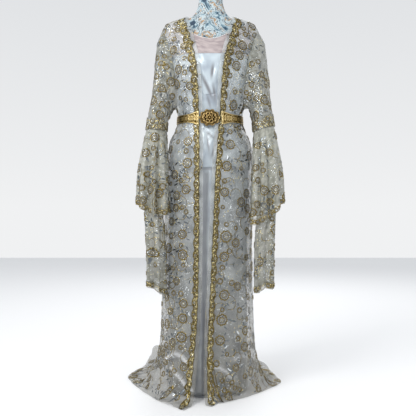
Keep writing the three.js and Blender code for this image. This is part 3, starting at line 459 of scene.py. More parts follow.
@dataclass
class Figure:
    """Oval sections of the satin under-layer: half ellipses to the front and the back."""

    rows: Rows = FIGURE_ROWS

    def __post_init__(self) -> None:
        """Turns the table's columns into curves."""
        self.wide, self.front, self.back, self.shift = (curve(self.rows, k) for k in (1, 2, 3, 4))

    def at(self, angle: Array, z: Array, out: Array | float) -> Array:
        """Point of the oval at an angle and height, moved out along the oval's normal.

        x is shift + wide sin and y is -deep cos; the normal's rise comes from how the
        width, depth and shift change with height.

        Args:
            angle: Degrees from the front, 90 at the viewer's right.
            z: Heights.
            out: Distances outwards.
        Returns:
            Points, last axis x, y, z.
        """
        angle, z, out = np.broadcast_arrays(np.asarray(angle, float), np.asarray(z, float),
                                            np.asarray(out, float))
        sin, cos = np.sin(np.radians(angle)), np.cos(np.radians(angle))
        facing, h = cos > 0, 2.0

        def deep(height: Array) -> Array:
            """Depth of the half that the angle lies in."""
            return np.where(facing, self.front(height), self.back(height))

        wide, depth = self.wide(z), deep(z)
        widen = (self.wide(z + h) - self.wide(z - h)) / (2 * h)
        deepen = (deep(z + h) - deep(z - h)) / (2 * h)
        lean = (self.shift(z + h) - self.shift(z - h)) / (2 * h)
        rise = -(wide * deepen * cos ** 2 + depth * widen * sin ** 2 + depth * lean * sin)
        normal = unit(np.stack([depth * sin, -wide * cos, rise], -1))
        point = np.stack([self.shift(z) + wide * sin, -depth * cos, z], -1)
        return point + normal * out[..., None]


FIGURE = Figure()


def level_of(z: Array) -> Array:
    """Level of a height over the flare: 1 at its top and 1 more for each metre."""
    return 1 + (np.asarray(z, float) - FLARE_TOP) / 1000


def height_of(level: Array) -> Array:
    """Height of a level over the flare."""
    return FLARE_TOP + (np.asarray(level, float) - 1) * 1000


@dataclass
class RobeForm:
    """Face of the robe by angle and level: 0 is the hem on the floor, 1 the flare's top."""

    bend: float = 0.42          # level where the curve has come down to the floor
    roundness: float = 1.25     # power of the spreading curve

    def __post_init__(self) -> None:
        """Prepares the curves of ease and hem."""
        self.ease_at, self.reach_at = curve(ROBE_EASE), curve(HEM)

    def folds(self, angle: Array, z: Array, rows: Rows = ROBE_FOLDS) -> Array:
        """Height of upright folds, which grow from their upper end to the hem."""
        total = np.zeros(np.broadcast(angle, z).shape)
        for place, half, rise, upper, drift in rows:
            grow = ease((upper - z) / (upper - FLARE_TOP))
            total += rise * grow * bump(wrapped(angle - place - drift * grow) / half)
        return total

    def wrinkles(self, angle: Array, level: Array) -> Array:
        """Low soft ridges over the bust, waist and hips, drawn to the belt and the armholes."""
        z = height_of(level)
        sway = angle + 5 * np.sin(z / 61.0) + 0.03 * (z - WAIST)
        gather = np.exp(-((z - WAIST) / 75.0) ** 2)
        outside = ease((np.abs(z - WAIST) - 15) / 9)
        pulled = 1.7 * gather * np.sin(np.radians(sway * 13.0)) * outside
        side = np.abs(wrapped(angle))
        drag = np.exp(-((side - 62) / 22.0) ** 2) * np.exp(-((z - 1215) / 70.0) ** 2)
        bust = np.exp(-((z - 1185) / 75.0) ** 2) * np.exp(-((side - 38) / 26.0) ** 2)
        pulled = pulled + 1.5 * bust * np.sin(np.radians(sway * 21.0 + 60)) ** 3
        return pulled + 1.1 * drag * np.sin((z + 1.3 * side) / 9.5)

    def slumps(self, angle: Array, level: Array) -> Array:
        """How far the sharp folds stand out, by the distance from each one's crest line.

        Args:
            angle: Degrees from the front.
            level: Levels.
        Returns:
            Heights over the smooth face, mm.
        """
        place = np.stack([wrapped(angle), level], -1) * SLUMP_SCALE
        total = np.zeros(place.shape[:-1])
        for height, half, crest in SLUMPS:
            near = np.full(total.shape, np.inf)
            line = np.array(crest) * SLUMP_SCALE
            for start, end in zip(line[:-1], line[1:]):
                run = end - start
                share = np.clip((place - start) @ run / (run @ run), 0, 1)
                gap = np.linalg.norm(place - start - share[..., None] * run, axis=-1)
                near = np.minimum(near, gap)
            total += height * np.exp(-(near / half) ** 2)
        return total

    def face(self, angle: Array, level: Array, fine: bool = False) -> Array:
        """Points of the robe's outer face.

        Over the flare it stands off the figure by its ease and folds. Below, each line
        runs out to the hem's outline along a power curve of sine and cosine, then flat.

        Args:
            angle: Degrees from the front.
            level: Levels.
            fine: Adds the small folds and wrinkles that the solids leave out.
        Returns:
            Points, last axis x, y, z.
        """
        angle, level = np.broadcast_arrays(np.asarray(angle, float), np.asarray(level, float))
        z = np.maximum(height_of(level), FLARE_TOP)
        out = self.ease_at(z) + self.folds(angle, z)
        if fine:
            out = out + self.folds(angle, z, SMALL_FOLDS) + self.wrinkles(angle, level_of(z))
        body = FIGURE.at(angle, z, out)
        reach = self.reach_at(wrapped(angle))
        sin, cos = np.sin(np.radians(angle)), np.cos(np.radians(angle))
        hem = np.stack([reach * sin, -reach * cos, np.zeros_like(reach)], -1)
        way = (hem - body) * np.array([1, 1, 0])
        length = np.linalg.norm(way, axis=-1)
        turn = np.minimum(0.72 * length, FLARE_REACH)
        t = np.clip((1 - level) / (1 - self.bend), 0, 1) * np.pi / 2
        falling = level > self.bend
        gone = np.where(falling, turn * (1 - np.clip(np.cos(t), 0, 1) ** self.roundness),
                        turn + (length - turn) * (1 - level / self.bend))
        drop = 1 - np.clip(np.sin(t), 0, 1) ** self.roundness
        height = CLOTH + np.where(falling, (body[..., 2] - CLOTH) * drop, 0)
        wave = np.zeros_like(length)
        for place, half, rise in FLOOR_WAVES:
            wave += rise * bump(wrapped(angle - place) / half)
        lift = wave * np.sin(np.pi * np.clip(level / 0.7, 0, 1)) ** 2
        if fine:
            for place, half, rise, crest, spread in FLOOR_CREASES:
                lift += (rise * bump(wrapped(angle - place - 14 * (level - crest)) / half)
                         * bump((level - crest) / (2 * spread)))
        if fine:
            gone = gone + self.slumps(angle, level)
        flare = body + way * (gone / np.where(length == 0, 1, length))[..., None]
        flare[..., 2] = height + lift * np.minimum(1, length / FLARE_REACH)
        return np.where((level >= 1)[..., None], body, flare)

    def normal(self, angle: Array, level: Array) -> Array:
        """Outward unit normal of the smooth face, from short steps across and up."""
        across = self.face(np.add(angle, 0.2), level) - self.face(np.subtract(angle, 0.2), level)
        low = np.maximum(np.subtract(level, 0.002), 0)
        up = self.face(angle, np.add(level, 0.002)) - self.face(angle, low)
        return unit(np.cross(across, up))

    def angle_at(self, x: Array, level: Array) -> Array:
        """Angle at which the front passes a side place, by halving the span 26 times."""
        x, level = np.broadcast_arrays(np.asarray(x, float), np.asarray(level, float))
        low, high = np.full(x.shape, -90.0), np.full(x.shape, 90.0)
        for _ in range(26):
            middle = (low + high) / 2
            short = self.face(middle, level)[..., 0] < x
            low, high = np.where(short, middle, low), np.where(short, high, middle)
        return (low + high) / 2

    def step_over(self, angle: Array, level: Array, heading: Array,
                  distance: Array) -> tuple[Array, Array]:
        """Place reached by going a distance over the face, in four straight steps.

        Args:
            angle: Angle of the start.
            level: Level of the start.
            heading: Unit direction of the first step.
            distance: Distance to go.
        Returns:
            Angle and level of the end.
        """
        steps, direction = 4, np.array(heading, float)
        angle, level = np.array(angle, float), np.array(level, float)
        for _ in range(steps):
            here = self.face(angle, level)
            across = (self.face(angle + 0.2, level) - here) / 0.2
            up = (self.face(angle, level + 0.002) - here) / 0.002
            aa, au, uu = ((p * q).sum(-1) for p, q in ((across, across), (across, up), (up, up)))
            part = np.asarray(distance, float) / steps
            da, du = (direction * across).sum(-1) * part, (direction * up).sum(-1) * part
            determinant = aa * uu - au * au
            angle = angle + (da * uu - du * au) / determinant
            level = level + (du * aa - da * au) / determinant
            direction = unit(self.face(angle, level) - here)
        return angle, level


ROBE = RobeForm()


@dataclass(frozen=True)
class Armhole:
    """Oval armhole: underarm and shoulder heights, and how far it cuts in, degrees."""

    low: float
    high: float
    cut: float

    def share(self, z: Array) -> Array:
        """Share of the cut at a height: (1 - place squared) to the power 0.4."""
        place = (np.asarray(z, float) - (self.low + self.high) / 2) / ((self.high - self.low) / 2)
        return np.where(np.abs(place) < 1, np.clip(1 - place ** 2, 0, 1) ** 0.4, 0.0)

    def side(self, z: Array) -> Array:
        """Angle of a panel's side at a height."""
        return 90 - self.cut * self.share(z)

    def rows(self, steps: int) -> Array:
        """Heights of the armhole's rows, close together at its ends."""
        middle, half = (self.low + self.high) / 2, (self.high - self.low) / 2
        return middle - half * np.cos(np.arange(steps + 1) / steps * np.pi)


ROBE_ARMHOLE = Armhole(1098, 1408, 32)
SLIP_ARMHOLE = Armhole(1136, 1404, 36)
ARMHOLE_STEPS = 10
SIDE_GAP = 0.09                 # half of the gap between two panels, degrees


def along(values: Array, share: Array) -> Array:
    """Straight interpolation along the first axis of a list, for shares 0 to 1."""
    place = np.clip(np.asarray(share, float), 0, 1) * (len(values) - 1)
    i = np.minimum(place.astype(int), len(values) - 2)
    return values[i] + (place - i) * (values[i + 1] - values[i])


def even_rows(surface: Callable[[Array, Array], Array], count: int) -> Array:
    """Shares up a surface at which its rows lie evenly far apart.

    Args:
        surface: Function from the shares across and up to points.
        count: Number of steps between the rows.
    Returns:
        Shares from 0 to 1, one for each row.
    """
    fine = np.linspace(0, 1, 1201)
    u, v = np.meshgrid([0.25, 0.5, 0.75], fine)
    step = np.linalg.norm(np.diff(surface(u, v), axis=0), axis=-1).mean(1)
    run = np.concatenate([[0.0], np.cumsum(step)])
    return np.interp(np.linspace(0, run[-1], count + 1), run, fine)


LOWER_LEVELS = np.concatenate([
    [0, 0.2, 0.42, 0.56, 0.7, 0.85, 1],
    level_of([420, 640, 860, 948, 1006, WAIST - BELT_ZONE, WAIST + BELT_ZONE])])
SIDE_LEVELS = np.concatenate([LOWER_LEVELS, level_of(ROBE_ARMHOLE.rows(ARMHOLE_STEPS))])
EDGE_LEVELS = np.concatenate([LOWER_LEVELS, level_of(
    [1099, 1118, 1146, 1184, 1228, 1276, 1326, 1378, 1420, 1444, NECK_POINT])])
ROBE_ROWS = len(SIDE_LEVELS) - 1
FRONT_COLUMNS = 11

EDGE: Rows = (                  # level, gold line's side place on the left and on the right
    (0, -103, 18), (0.2, -92, 6), (0.45, -78, -6), (0.75, -61, -12), (1, -48, -9),
    (1.15, -42, -1), (1.3, -40, 5), (1.49, -38, 15), (1.6, -38, 19), (1.71, -38, 26),
    (1.79, -40, 33), (1.86, -42, 38), (1.937, -45, 42), (1.994, -50, 48), (2.033, -57, 54),
    (2.072, -66, 65), (2.117, -77, 76), (2.156, -88, 86), (2.196, -94, 94),
)
LACE_WIDE = curve(((0, 26), (1.5, 24), (1.8, 26), (1.95, 30), (2.1, 34), (2.2, 34)))


@dataclass
class FrontPanel:
    """Front panel of the robe, by the share across from its edge and up from its hem."""

    hand: Hand
    crest_highlight: Array = field(init=False)   # painted highlight on each point, on the last patch

    def __post_init__(self) -> None:
        """Lays out the rows: edge, gold line, lace's outer edge, then even to the side."""
        side = self.hand.value
        edge_at = curve(EDGE, 1 if self.hand is Hand.LEFT else 2)

        def edge_angle(level: Array) -> Array:
            """Angle of the net's front edge."""
            return ROBE.angle_at(edge_at(level) - side * NET_STRIP, level)

        levels = EDGE_LEVELS
        start = edge_angle(levels)
        high, low = levels + 0.004, np.maximum(levels - 0.004, 0)
        run = unit(ROBE.face(edge_angle(high), high) - ROBE.face(edge_angle(low), low))
        heading = np.cross(run, ROBE.normal(start, levels)) * side
        seam = ROBE_ARMHOLE.side(height_of(SIDE_LEVELS)) - SIDE_GAP
        start[-1] = side * seam[-1]
        heading[-1] = unit(np.array([side, 0, -0.4]))
        angles, rises = np.zeros((2, ROBE_ROWS + 1, FRONT_COLUMNS + 1))
        wide = LACE_WIDE(levels)
        for column, distance in enumerate((0 * wide, NET_STRIP + 0 * wide, NET_STRIP + wide)):
            angle, level = ROBE.step_over(start, levels, heading, distance)
            limit = np.minimum(np.abs(angle), 90 - SIDE_GAP)
            angle = limit * np.sign(angle)
            angle[-1] = side * seam[-1]
            angles[:, column], rises[:, column] = angle, level
        share = np.arange(1, FRONT_COLUMNS - 1) / (FRONT_COLUMNS - 2)
        end = side * seam
        angles[:, 3:] = angles[:, 2:3] + (end[:, None] - angles[:, 2:3]) * share
        rises[:, 3:] = rises[:, 2:3] + (SIDE_LEVELS[:, None] - rises[:, 2:3]) * share
        self.angles, self.levels = angles, rises

    def place(self, u: Array, v: Array) -> tuple[Array, Array]:
        """Angle and level at shares across and up, straight between the rows and columns."""
        u, v = np.broadcast_arrays(np.asarray(u, float), np.asarray(v, float))
        x = np.clip(u, 0, 1) * FRONT_COLUMNS
        y = np.clip(v, 0, 1) * ROBE_ROWS
        i = np.minimum(x.astype(int), FRONT_COLUMNS - 1)
        j = np.minimum(y.astype(int), ROBE_ROWS - 1)
        p, q = x - i, y - j
        found = []
        for table in (self.angles, self.levels):
            low = table[j, i] * (1 - p) + table[j, i + 1] * p
            high = table[j + 1, i] * (1 - p) + table[j + 1, i + 1] * p
            found.append(low * (1 - q) + high * q)
        return found[0], found[1]

    def patch(self, rows: int = 200, columns: int = 66) -> Patch:
        """Fine grid of the whole panel."""
        up = even_rows(lambda u, v: ROBE.face(*self.place(u, v)), rows)
        u, v = np.meshgrid(np.linspace(0, 1, columns + 1), up)
        angle, level = self.place(u, v)
        shine = np.clip(ROBE.slumps(angle, level) / SLUMP_SHINE, 0, 1)
        self.crest_highlight = shine ** SLUMP_SHARP
        return Patch(ROBE.face(angle, level, fine=True), side=self.hand.value)


@dataclass
class BackPanel:
    """Back panel of the robe with its train, armholes, shoulders and neck edge."""

    def place(self, u: Array, v: Array) -> tuple[Array, Array]:
        """Angle and level at shares across and up."""
        u, v = np.broadcast_arrays(np.asarray(u, float), np.asarray(v, float))
        first = len(LOWER_LEVELS)
        across = 2 * u - 1
        q = np.abs(across)
        level = along(SIDE_LEVELS, v)
        seam = ROBE_ARMHOLE.side(height_of(level)) - SIDE_GAP
        blend = np.maximum((v * ROBE_ROWS - first) / (ROBE_ROWS - first), 0)
        top = np.minimum(q / 0.5, 1) * seam
        rise = (level_of(NECK_POINT) - level_of(ROBE_ARMHOLE.high)) * np.minimum(2 - 2 * q, 1)
        angle = np.sign(across) * (q * seam * (1 - blend) + top * blend)
        return 180 + angle, level + rise * blend

    def patch(self, rows: int = 200, columns: int = 130) -> Patch:
        """Fine grid of the whole panel."""
        up = even_rows(lambda u, v: ROBE.face(*self.place(u, v)), rows)
        u, v = np.meshgrid(np.linspace(0, 1, columns + 1), up)
        angle, level = self.place(u, v)
        return Patch(ROBE.face(angle, level, fine=True))


# ------------------------------------------------------------------ sleeves and flounces
SLEEVE_RINGS: dict[Hand, Rows] = {   # outer x, z and inner x, z of each ring, middle y, half depth
    Hand.LEFT: (
        (207, 1352, 141, 1094, -6, 66), (215, 1272, 146, 1087, -12, 64),
        (222, 1196, 151, 1076, -19, 60), (232, 1128, 157, 1062, -27, 56),
        (240, 1066, 163, 1044, -34, 53), (247, 1010, 167, 1003, -40, 52),
    ),
    Hand.RIGHT: (
        (213, 1352, 146, 1096, -6, 66), (220, 1276, 149, 1090, -12, 64),
        (227, 1206, 153, 1080, -19, 60), (233, 1144, 158, 1064, -27, 56),
        (240, 1080, 163, 1046, -34, 53), (248, 1024, 166, 1002, -40, 52),
    ),
}
CUFF_SPAN = 0.86                # where along the sleeve the elbow band starts
FLOUNCE_TOP = 1008.0            # height where both tiers meet the sleeve
FLOUNCE_LINE: Rows = (          # height, side place and depth of the tiers' middle line
    (400, 204, -104), (560, 206, -102), (640, 210, -101), (700, 214, -99), (820, 216, -92),
    (900, 214, -78), (960, 210, -58), (1008, 207, -40),
)
UPPER_TIER: Rows = (            # height, half width, half depth and height of the flutes
    (640, 59, 42, 9), (800, 57, 43, 8), (900, 50, 46, 6), (970, 43, 50, 3), (1008, 40, 52, 0),
)
LOWER_TIER: Rows = (
    (400, 30, 32, 9), (620, 32, 29, 7), (700, 33, 26, 4), (800, 33, 27, 3), (900, 34, 32, 2),
    (970, 36, 42, 1), (1008, 38, 50, 0),
)
TIER_HEMS: dict[tuple[Hand, str], Rows] = {   # angle from the front outwards, height of the hem
    (Hand.LEFT, "upper"): ((0, 684), (60, 712), (110, 722), (180, 700), (250, 690), (310, 682),
                           (360, 684)),
    (Hand.LEFT, "lower"): ((0, 404), (90, 418), (180, 404), (270, 384), (320, 388), (360, 404)),
    (Hand.RIGHT, "upper"): ((0, 662), (60, 716), (110, 728), (180, 700), (250, 668), (310, 644),
                            (360, 662)),
    (Hand.RIGHT, "lower"): ((0, 410), (90, 404), (180, 412), (270, 388), (320, 396), (360, 410)),
}


@dataclass
class SleeveForm:
    """Straight sleeve from the armhole's seam to the elbow."""

    hand: Hand

    def armhole(self, turn: Array) -> Array:
        """Point of the armhole's seam, by the angle round it from the shoulder."""
        middle = (ROBE_ARMHOLE.low + ROBE_ARMHOLE.high) / 2
        half = (ROBE_ARMHOLE.high - ROBE_ARMHOLE.low) / 2
        z = middle + (half - SEAM) * np.cos(turn)
        cut = (ROBE_ARMHOLE.cut - 0.2) * ROBE_ARMHOLE.share(middle + half * np.cos(turn))
        angle = np.where(np.sin(turn) >= 0, 90 - cut, 90 + cut)
        return FIGURE.at(self.hand.value * angle, z, ROBE.ease_at(z))

    def ring(self, k: int, turn: Array) -> Array:
        """Point of one ring: an oval slanted between its outer and inner points."""
        if k == 0:
            return self.armhole(turn)
        side = self.hand.value
        out_x, out_z, in_x, in_z, y, deep = SLEEVE_RINGS[self.hand][k - 1]
        cos, sin = np.cos(turn), np.sin(turn)
        x = side * ((out_x + in_x) / 2 + (out_x - in_x) / 2 * cos)
        z = (out_z + in_z) / 2 + (out_z - in_z) / 2 * cos
        return np.stack([x, y - deep * sin, z], -1)

    def face(self, turn: Array, reach: Array) -> Array:
        """Point of the sleeve: straight between its rings."""
        turn, reach = np.broadcast_arrays(np.asarray(turn, float), np.asarray(reach, float))
        rings = len(SLEEVE_RINGS[self.hand])
        place = np.clip(reach, 0, 1) * rings
        k = np.minimum(place.astype(int), rings - 1)
        every = np.stack([self.ring(i, turn) for i in range(rings + 1)])
        low = np.take_along_axis(every, k[None, ..., None], 0)[0]
        high = np.take_along_axis(every, k[None, ..., None] + 1, 0)[0]
        return low + (high - low) * (place - k)[..., None]

    def wrinkles(self, turn: Array, reach: Array) -> Array:
        """Soft folds: long ones that run down the empty sleeve, and a slack bow over the elbow."""
        fade = ease(reach / 0.25) * ease((CUFF_SPAN - reach) / 0.12)
        twist = turn + 0.9 * reach * self.hand.value
        long_ = 2.6 * np.sin(3 * twist + 0.7) + 1.6 * np.sin(5 * twist - 1.1 + 1.2 * reach)
        slack = 1.8 * np.sin(24 * reach + 2.2 * np.cos(turn)) * bump((reach - 0.62) / 0.3)
        return fade * (long_ + slack) - 1.6 * fade

    def patch(self, start: float = 0.0, end: float = 1.0, out: float = 0.0, rows: int = 70,
              columns: int = 100) -> Patch:
        """Fine grid of the sleeve between two shares of its length."""
        turn, reach = np.meshgrid(np.arange(columns) / columns * 2 * np.pi,
                                  np.linspace(start, end, rows + 1))
        smooth = Patch(self.face(turn, reach), closed=True, side=self.hand.value)
        relief = out + (self.wrinkles(turn, reach) if out == 0 else 0)
        points = smooth.points + smooth.normals * np.broadcast_to(relief, turn.shape)[..., None]
        return Patch(points, closed=True, side=self.hand.value)


@dataclass
class FlounceForm:
    """Fluted tube that hangs from the elbow: the wide upper tier or the long lower one."""

    hand: Hand
    tier: str
    waves: int
    phase: float
    rows: Rows

    def patch(self, rows: int = 60, columns: int = 150) -> Patch:
        """Fine grid: an oval about the leaning middle line, with flutes that open downwards.

        The flutes are a cosine of the angle times their count, made uneven by a slow sine;
        fine ones at twice the pitch are added between them.
        """
        side = self.hand.value
        angle, v = np.meshgrid(np.arange(columns) / columns * 360, np.linspace(0, 1, rows + 1))
        turn = np.radians(90 - angle)
        start = SleeveForm(self.hand).face(turn, np.ones_like(turn))[..., 2] - 3 * SEAM
        hem = curve(TIER_HEMS[(self.hand, self.tier)])(angle)
        z = hem + v * (start - hem)
        line = np.minimum(z + ease((z - 900) / 100) * (FLOUNCE_TOP - start), FLOUNCE_TOP)
        a = np.radians(angle)
        uneven = a * self.waves + self.phase + 0.7 * np.sin(2 * a + self.phase)
        fold = curve(self.rows, 3)(line)
        out = fold * np.cos(uneven)
        out += 0.22 * fold * np.cos(2 * uneven + 1.3 + 2.5 * v)
        out += 0.9 * np.sin(9 * a + 6 * v + self.phase) * (1 - v) ** 0.5
        wide, deep = curve(self.rows, 1)(line), curve(self.rows, 2)(line)
        x = curve(FLOUNCE_LINE, 1)(line) + (wide + out) * np.sin(a)
        y = curve(FLOUNCE_LINE, 2)(line) - (deep + out) * np.cos(a)
        return Patch(np.stack([side * x, y, z], -1), closed=True, side=side)


# ------------------------------------------------------------------ satin under-layer
NECKLINE: Rows = ((0, 1352), (10, 1360), (25, 1383), (45, 1410), (70, 1438), (90, 1448))
TUNIC_ROWS = np.concatenate([
    [TUNIC_HEM, 948, 1006, WAIST, 1092],
    [z for z in SLIP_ARMHOLE.rows(ARMHOLE_STEPS) if z < BUST_LINE - 12], [BUST_LINE]])
YOKE_ROWS = np.array([BUST_LINE + SEAM, 1322, 1350, 1374, 1392, 1406, 1418, 1429, 1439, 1448])
SKIRT_ROWS = np.array([0, 130, 300, 470, 640, 780, 850, 930, SKIRT_TOP])
PLEAT_DEPTH, PLEAT_HALF = 5.0, 6.5


@dataclass
class SlipPanel:
    """Satin or yoke panel between two heights on the front or the back of the figure."""

    heights: Array
    back: bool = False
    neckline: bool = False      # the top edge follows the neckline
    relief: Callable[[Array, Array], Array] | None = None

    def patch(self, rows: int, columns: int) -> Patch:
        """Fine grid; its sides follow the armhole and its top may follow the neckline."""
        u, v = np.meshgrid(np.linspace(0, 1, columns + 1), np.linspace(0, 1, rows + 1))
        level = along(self.heights, v)
        z, bottom, top = level, self.heights[0], self.heights[-1]
        edge = curve(NECKLINE)
        for _ in range(6):
            angle = (2 * u - 1) * (SLIP_ARMHOLE.side(z) - SIDE_GAP)
            if self.neckline:
                share = (level - bottom) / (top - bottom)
                z = bottom + share * (edge(np.abs(angle)) - bottom)
        out = -SINK * ease((z - 1370) / 40)
        if self.relief is not None:
            out = out + self.relief(angle, z)
        return Patch(FIGURE.at(180 + angle if self.back else angle, z, out))


@dataclass
class SlipSkirt:
    """Half of the satin skirt, with the pleat in the front one."""

    back: bool = False
    mark: Array = field(init=False)     # painted shade on each point: in the pleat by its depth, and just under the tunic's ledge

    def patch(self, rows: int = 90, columns: int = 100) -> Patch:
        """Fine grid with soft upright folds between the pleat and the side seams."""
        angle, share = np.meshgrid(np.linspace(-89.9, 89.9, columns + 1),
                                   np.linspace(0, 1, rows + 1))
        hem = SKIRT_HEM + (0 if self.back else SKIRT_LIFT) * np.cos(np.radians(angle)) ** 2
        z = hem + along(SKIRT_ROWS, share) * ((SKIRT_TOP - hem) / SKIRT_TOP)
        fall = ease((TUNIC_HEM - z) / 26)
        way = 2.2 * ease((560 - z) / 420)
        pleat, away = 0.0, 0 * angle + 9
        if not self.back:
            away = (angle - PLEAT_ANGLE - way) / PLEAT_HALF
            pleat = PLEAT_DEPTH * bump(away) * fall + 2.4 * bump(away / 0.34 - 0.4) * fall
        # Painted shade: darker deep in the pleat and in a band just under the tunic's ledge.
        self.mark = 0 * z + (0 if self.back else 1) * 0.75 * fall * bump(away * 0.8) ** 0.5
        self.mark = np.maximum(self.mark, 0.85 * bump((z - TUNIC_HEM + 5) / 8))
        grown = ease((TUNIC_HEM - z) / 700)
        soft = 1.4 * np.sin(np.radians(angle * 9.5) + 0.004 * z) * grown
        soft += 0.8 * np.sin(np.radians(angle * 21.0) - 0.006 * z + 0.9) * grown
        return Patch(FIGURE.at(180 + angle if self.back else angle, z,
                               -LAYER - 2 * SEAM - pleat + soft - 1.2 * grown))


# ------------------------------------------------------------------ dress form
FORM_DEPTH: Rows = (            # height, distance of the form inside the figure
    (790, 12), (948, 10), (1006, 9), (1049, 7), (1150, 5.4), (1250, 4.4), (1300, 4.4), (1350, 6),
    (1385, 8.5), (1412, 8), (1432, LAYER + SINK), (1470, LAYER + SINK), (1545, 1),
)
NECK_TOP, TORSO_BOTTOM = 1540.0, 800.0


@dataclass
class DressForm:
    """Limbless torso with its capped neck."""

    around: int = 120
    rim: float = 8.0            # how far the top's edge is rounded in

    def build(self, cover: bpy.types.Material) -> bpy.types.Object:
        """Makes the torso: rings at close heights, and flat caps on the two ends.

        Args:
            cover: Material of the stretched jersey.
        Returns:
            The torso.
        """
        heights = np.concatenate([np.arange(TORSO_BOTTOM, 1380, 12.0),
                                  np.arange(1380, NECK_TOP - 6, 4.0)])
        angle, z = np.meshgrid(np.arange(self.around) * 360 / self.around, heights)
        rings = FIGURE.at(angle, z, -curve(FORM_DEPTH)(z))
        rings[0, :, 2] = TORSO_BOTTOM
        top = FIGURE.at(angle[0], NECK_TOP - 6 + 0 * angle[0], -1.0)
        share = np.linspace(0, np.pi / 2, 6)[:, None]
        middle = np.array([float(FIGURE.shift(NECK_TOP)), 0.0])
        flat = top[None, :, :2] - middle
        length = np.linalg.norm(flat, axis=-1, keepdims=True)
        rounded = flat * (1 - self.rim * (1 - np.cos(share))[..., None] / length)
        cap = np.concatenate([rounded + middle,
                              np.broadcast_to(NECK_TOP - 6 + 6 * np.sin(share)[..., None],
                                              rounded.shape[:2] + (1,))], -1)
        inwards = np.linspace(0.9, 0.04, 8)[:, None, None]
        disc = np.concatenate([(cap[-1:, :, :2] - middle) * inwards + middle,
                               np.full((8, self.around, 1), NECK_TOP)], -1)
        under = rings[0][None] * np.array([1, 1, 0]) * np.linspace(0.04, 0.96, 6)[:, None, None]
        under[..., 2] = TORSO_BOTTOM
        grid = np.concatenate([under, rings, cap, disc])
        faces = grid_faces(len(grid), self.around, True, False).tolist()
        faces.append(list(range(self.around))[::-1])
        last = (len(grid) - 1) * self.around
        faces.append(list(range(last, last + self.around)))
        return make_mesh("torso_cover", grid.reshape(-1, 3), faces, [cover])


# ------------------------------------------------------------------ finishes
WAVE_PERIOD = 0.314             # length of one band of the Wave node at scale 1


def add_node(tree: bpy.types.NodeTree, kind: str, settings: dict | None = None,
             inputs: dict | None = None) -> bpy.types.Node:
    """Adds a node with its settings, values and links.

    Args:
        tree: Node tree of the material.
        kind: Blender's name of the node.
        settings: Values of the node's properties.
        inputs: Values of its sockets, or the sockets they are linked from.
    Returns:
        The node.
    """
    node = tree.nodes.new(kind)
    for key, value in (settings or {}).items():
        setattr(node, key, value)
    for key, value in (inputs or {}).items():
        if isinstance(value, bpy.types.NodeSocket):
            tree.links.new(value, node.inputs[key])
        else:
            node.inputs[key].default_value = value
    return node


@dataclass(frozen=True)
class Finish:
    """Named finish: one constant shader, to which a kind of finish adds its pattern."""

    name: str
    colour: str
    roughness: float
    metallic: float = 0.0
    alpha: float = 1.0
    sheen: float = 0.0
    anisotropic: float = 0.0
    coat: float = 0.0
    spacing: float = 1.0        # distance between threads or grains, mm
    depth: float = 0.3          # strength of the relief

    def make(self) -> bpy.types.Material:
        """Builds the material with its shader's constants and its pattern."""
        material = bpy.data.materials.new(self.name)
        material.use_nodes = True
        tree = material.node_tree
        tree.nodes.clear()
        shader = add_node(tree, "ShaderNodeBsdfPrincipled", inputs={
            "Base Color": linear(self.colour), "Roughness": self.roughness,
            "Metallic": self.metallic, "Alpha": self.alpha, "Sheen Weight": self.sheen,
            "Anisotropic": self.anisotropic, "Coat Weight": self.coat})
        add_node(tree, "ShaderNodeOutputMaterial", inputs={"Surface": shader.outputs["BSDF"]})
        self.dress(tree, shader)
        return material

    def dress(self, tree: bpy.types.NodeTree, shader: bpy.types.Node) -> None:
        """Adds a fine grain in the object's own space."""
        place = add_node(tree, "ShaderNodeTexCoord")
        grain = add_node(tree, "ShaderNodeTexNoise", inputs={
            "Vector": place.outputs["Object"], "Scale": 1 / (self.spacing * MM), "Detail": 3.0})
        self.relief(tree, shader, grain.outputs["Fac"])

    def relief(self, tree: bpy.types.NodeTree, shader: bpy.types.Node,
               height: bpy.types.NodeSocket) -> None:
        """Links a height to the shader's normal, a third of the spacing deep."""
        rise = add_node(tree, "ShaderNodeBump", inputs={
            "Height": height, "Strength": self.depth, "Distance": self.spacing * MM / 3})
        tree.links.new(rise.outputs["Normal"], shader.inputs["Normal"])

    def tint(self, tree: bpy.types.NodeTree, shader: bpy.types.Node, factor: bpy.types.NodeSocket,
             stops: Sequence[tuple[float, str]]) -> None:
        """Links a colour ramp over a factor to the shader's base colour."""
        ramp = add_node(tree, "ShaderNodeValToRGB", inputs={"Fac": factor})
        marks = ramp.color_ramp.elements
        while len(marks) < len(stops):
            marks.new(0.5)
        for mark, (place, colour) in zip(marks, stops):
            mark.position, mark.color = place, linear(colour)
        tree.links.new(ramp.outputs["Color"], shader.inputs["Base Color"])


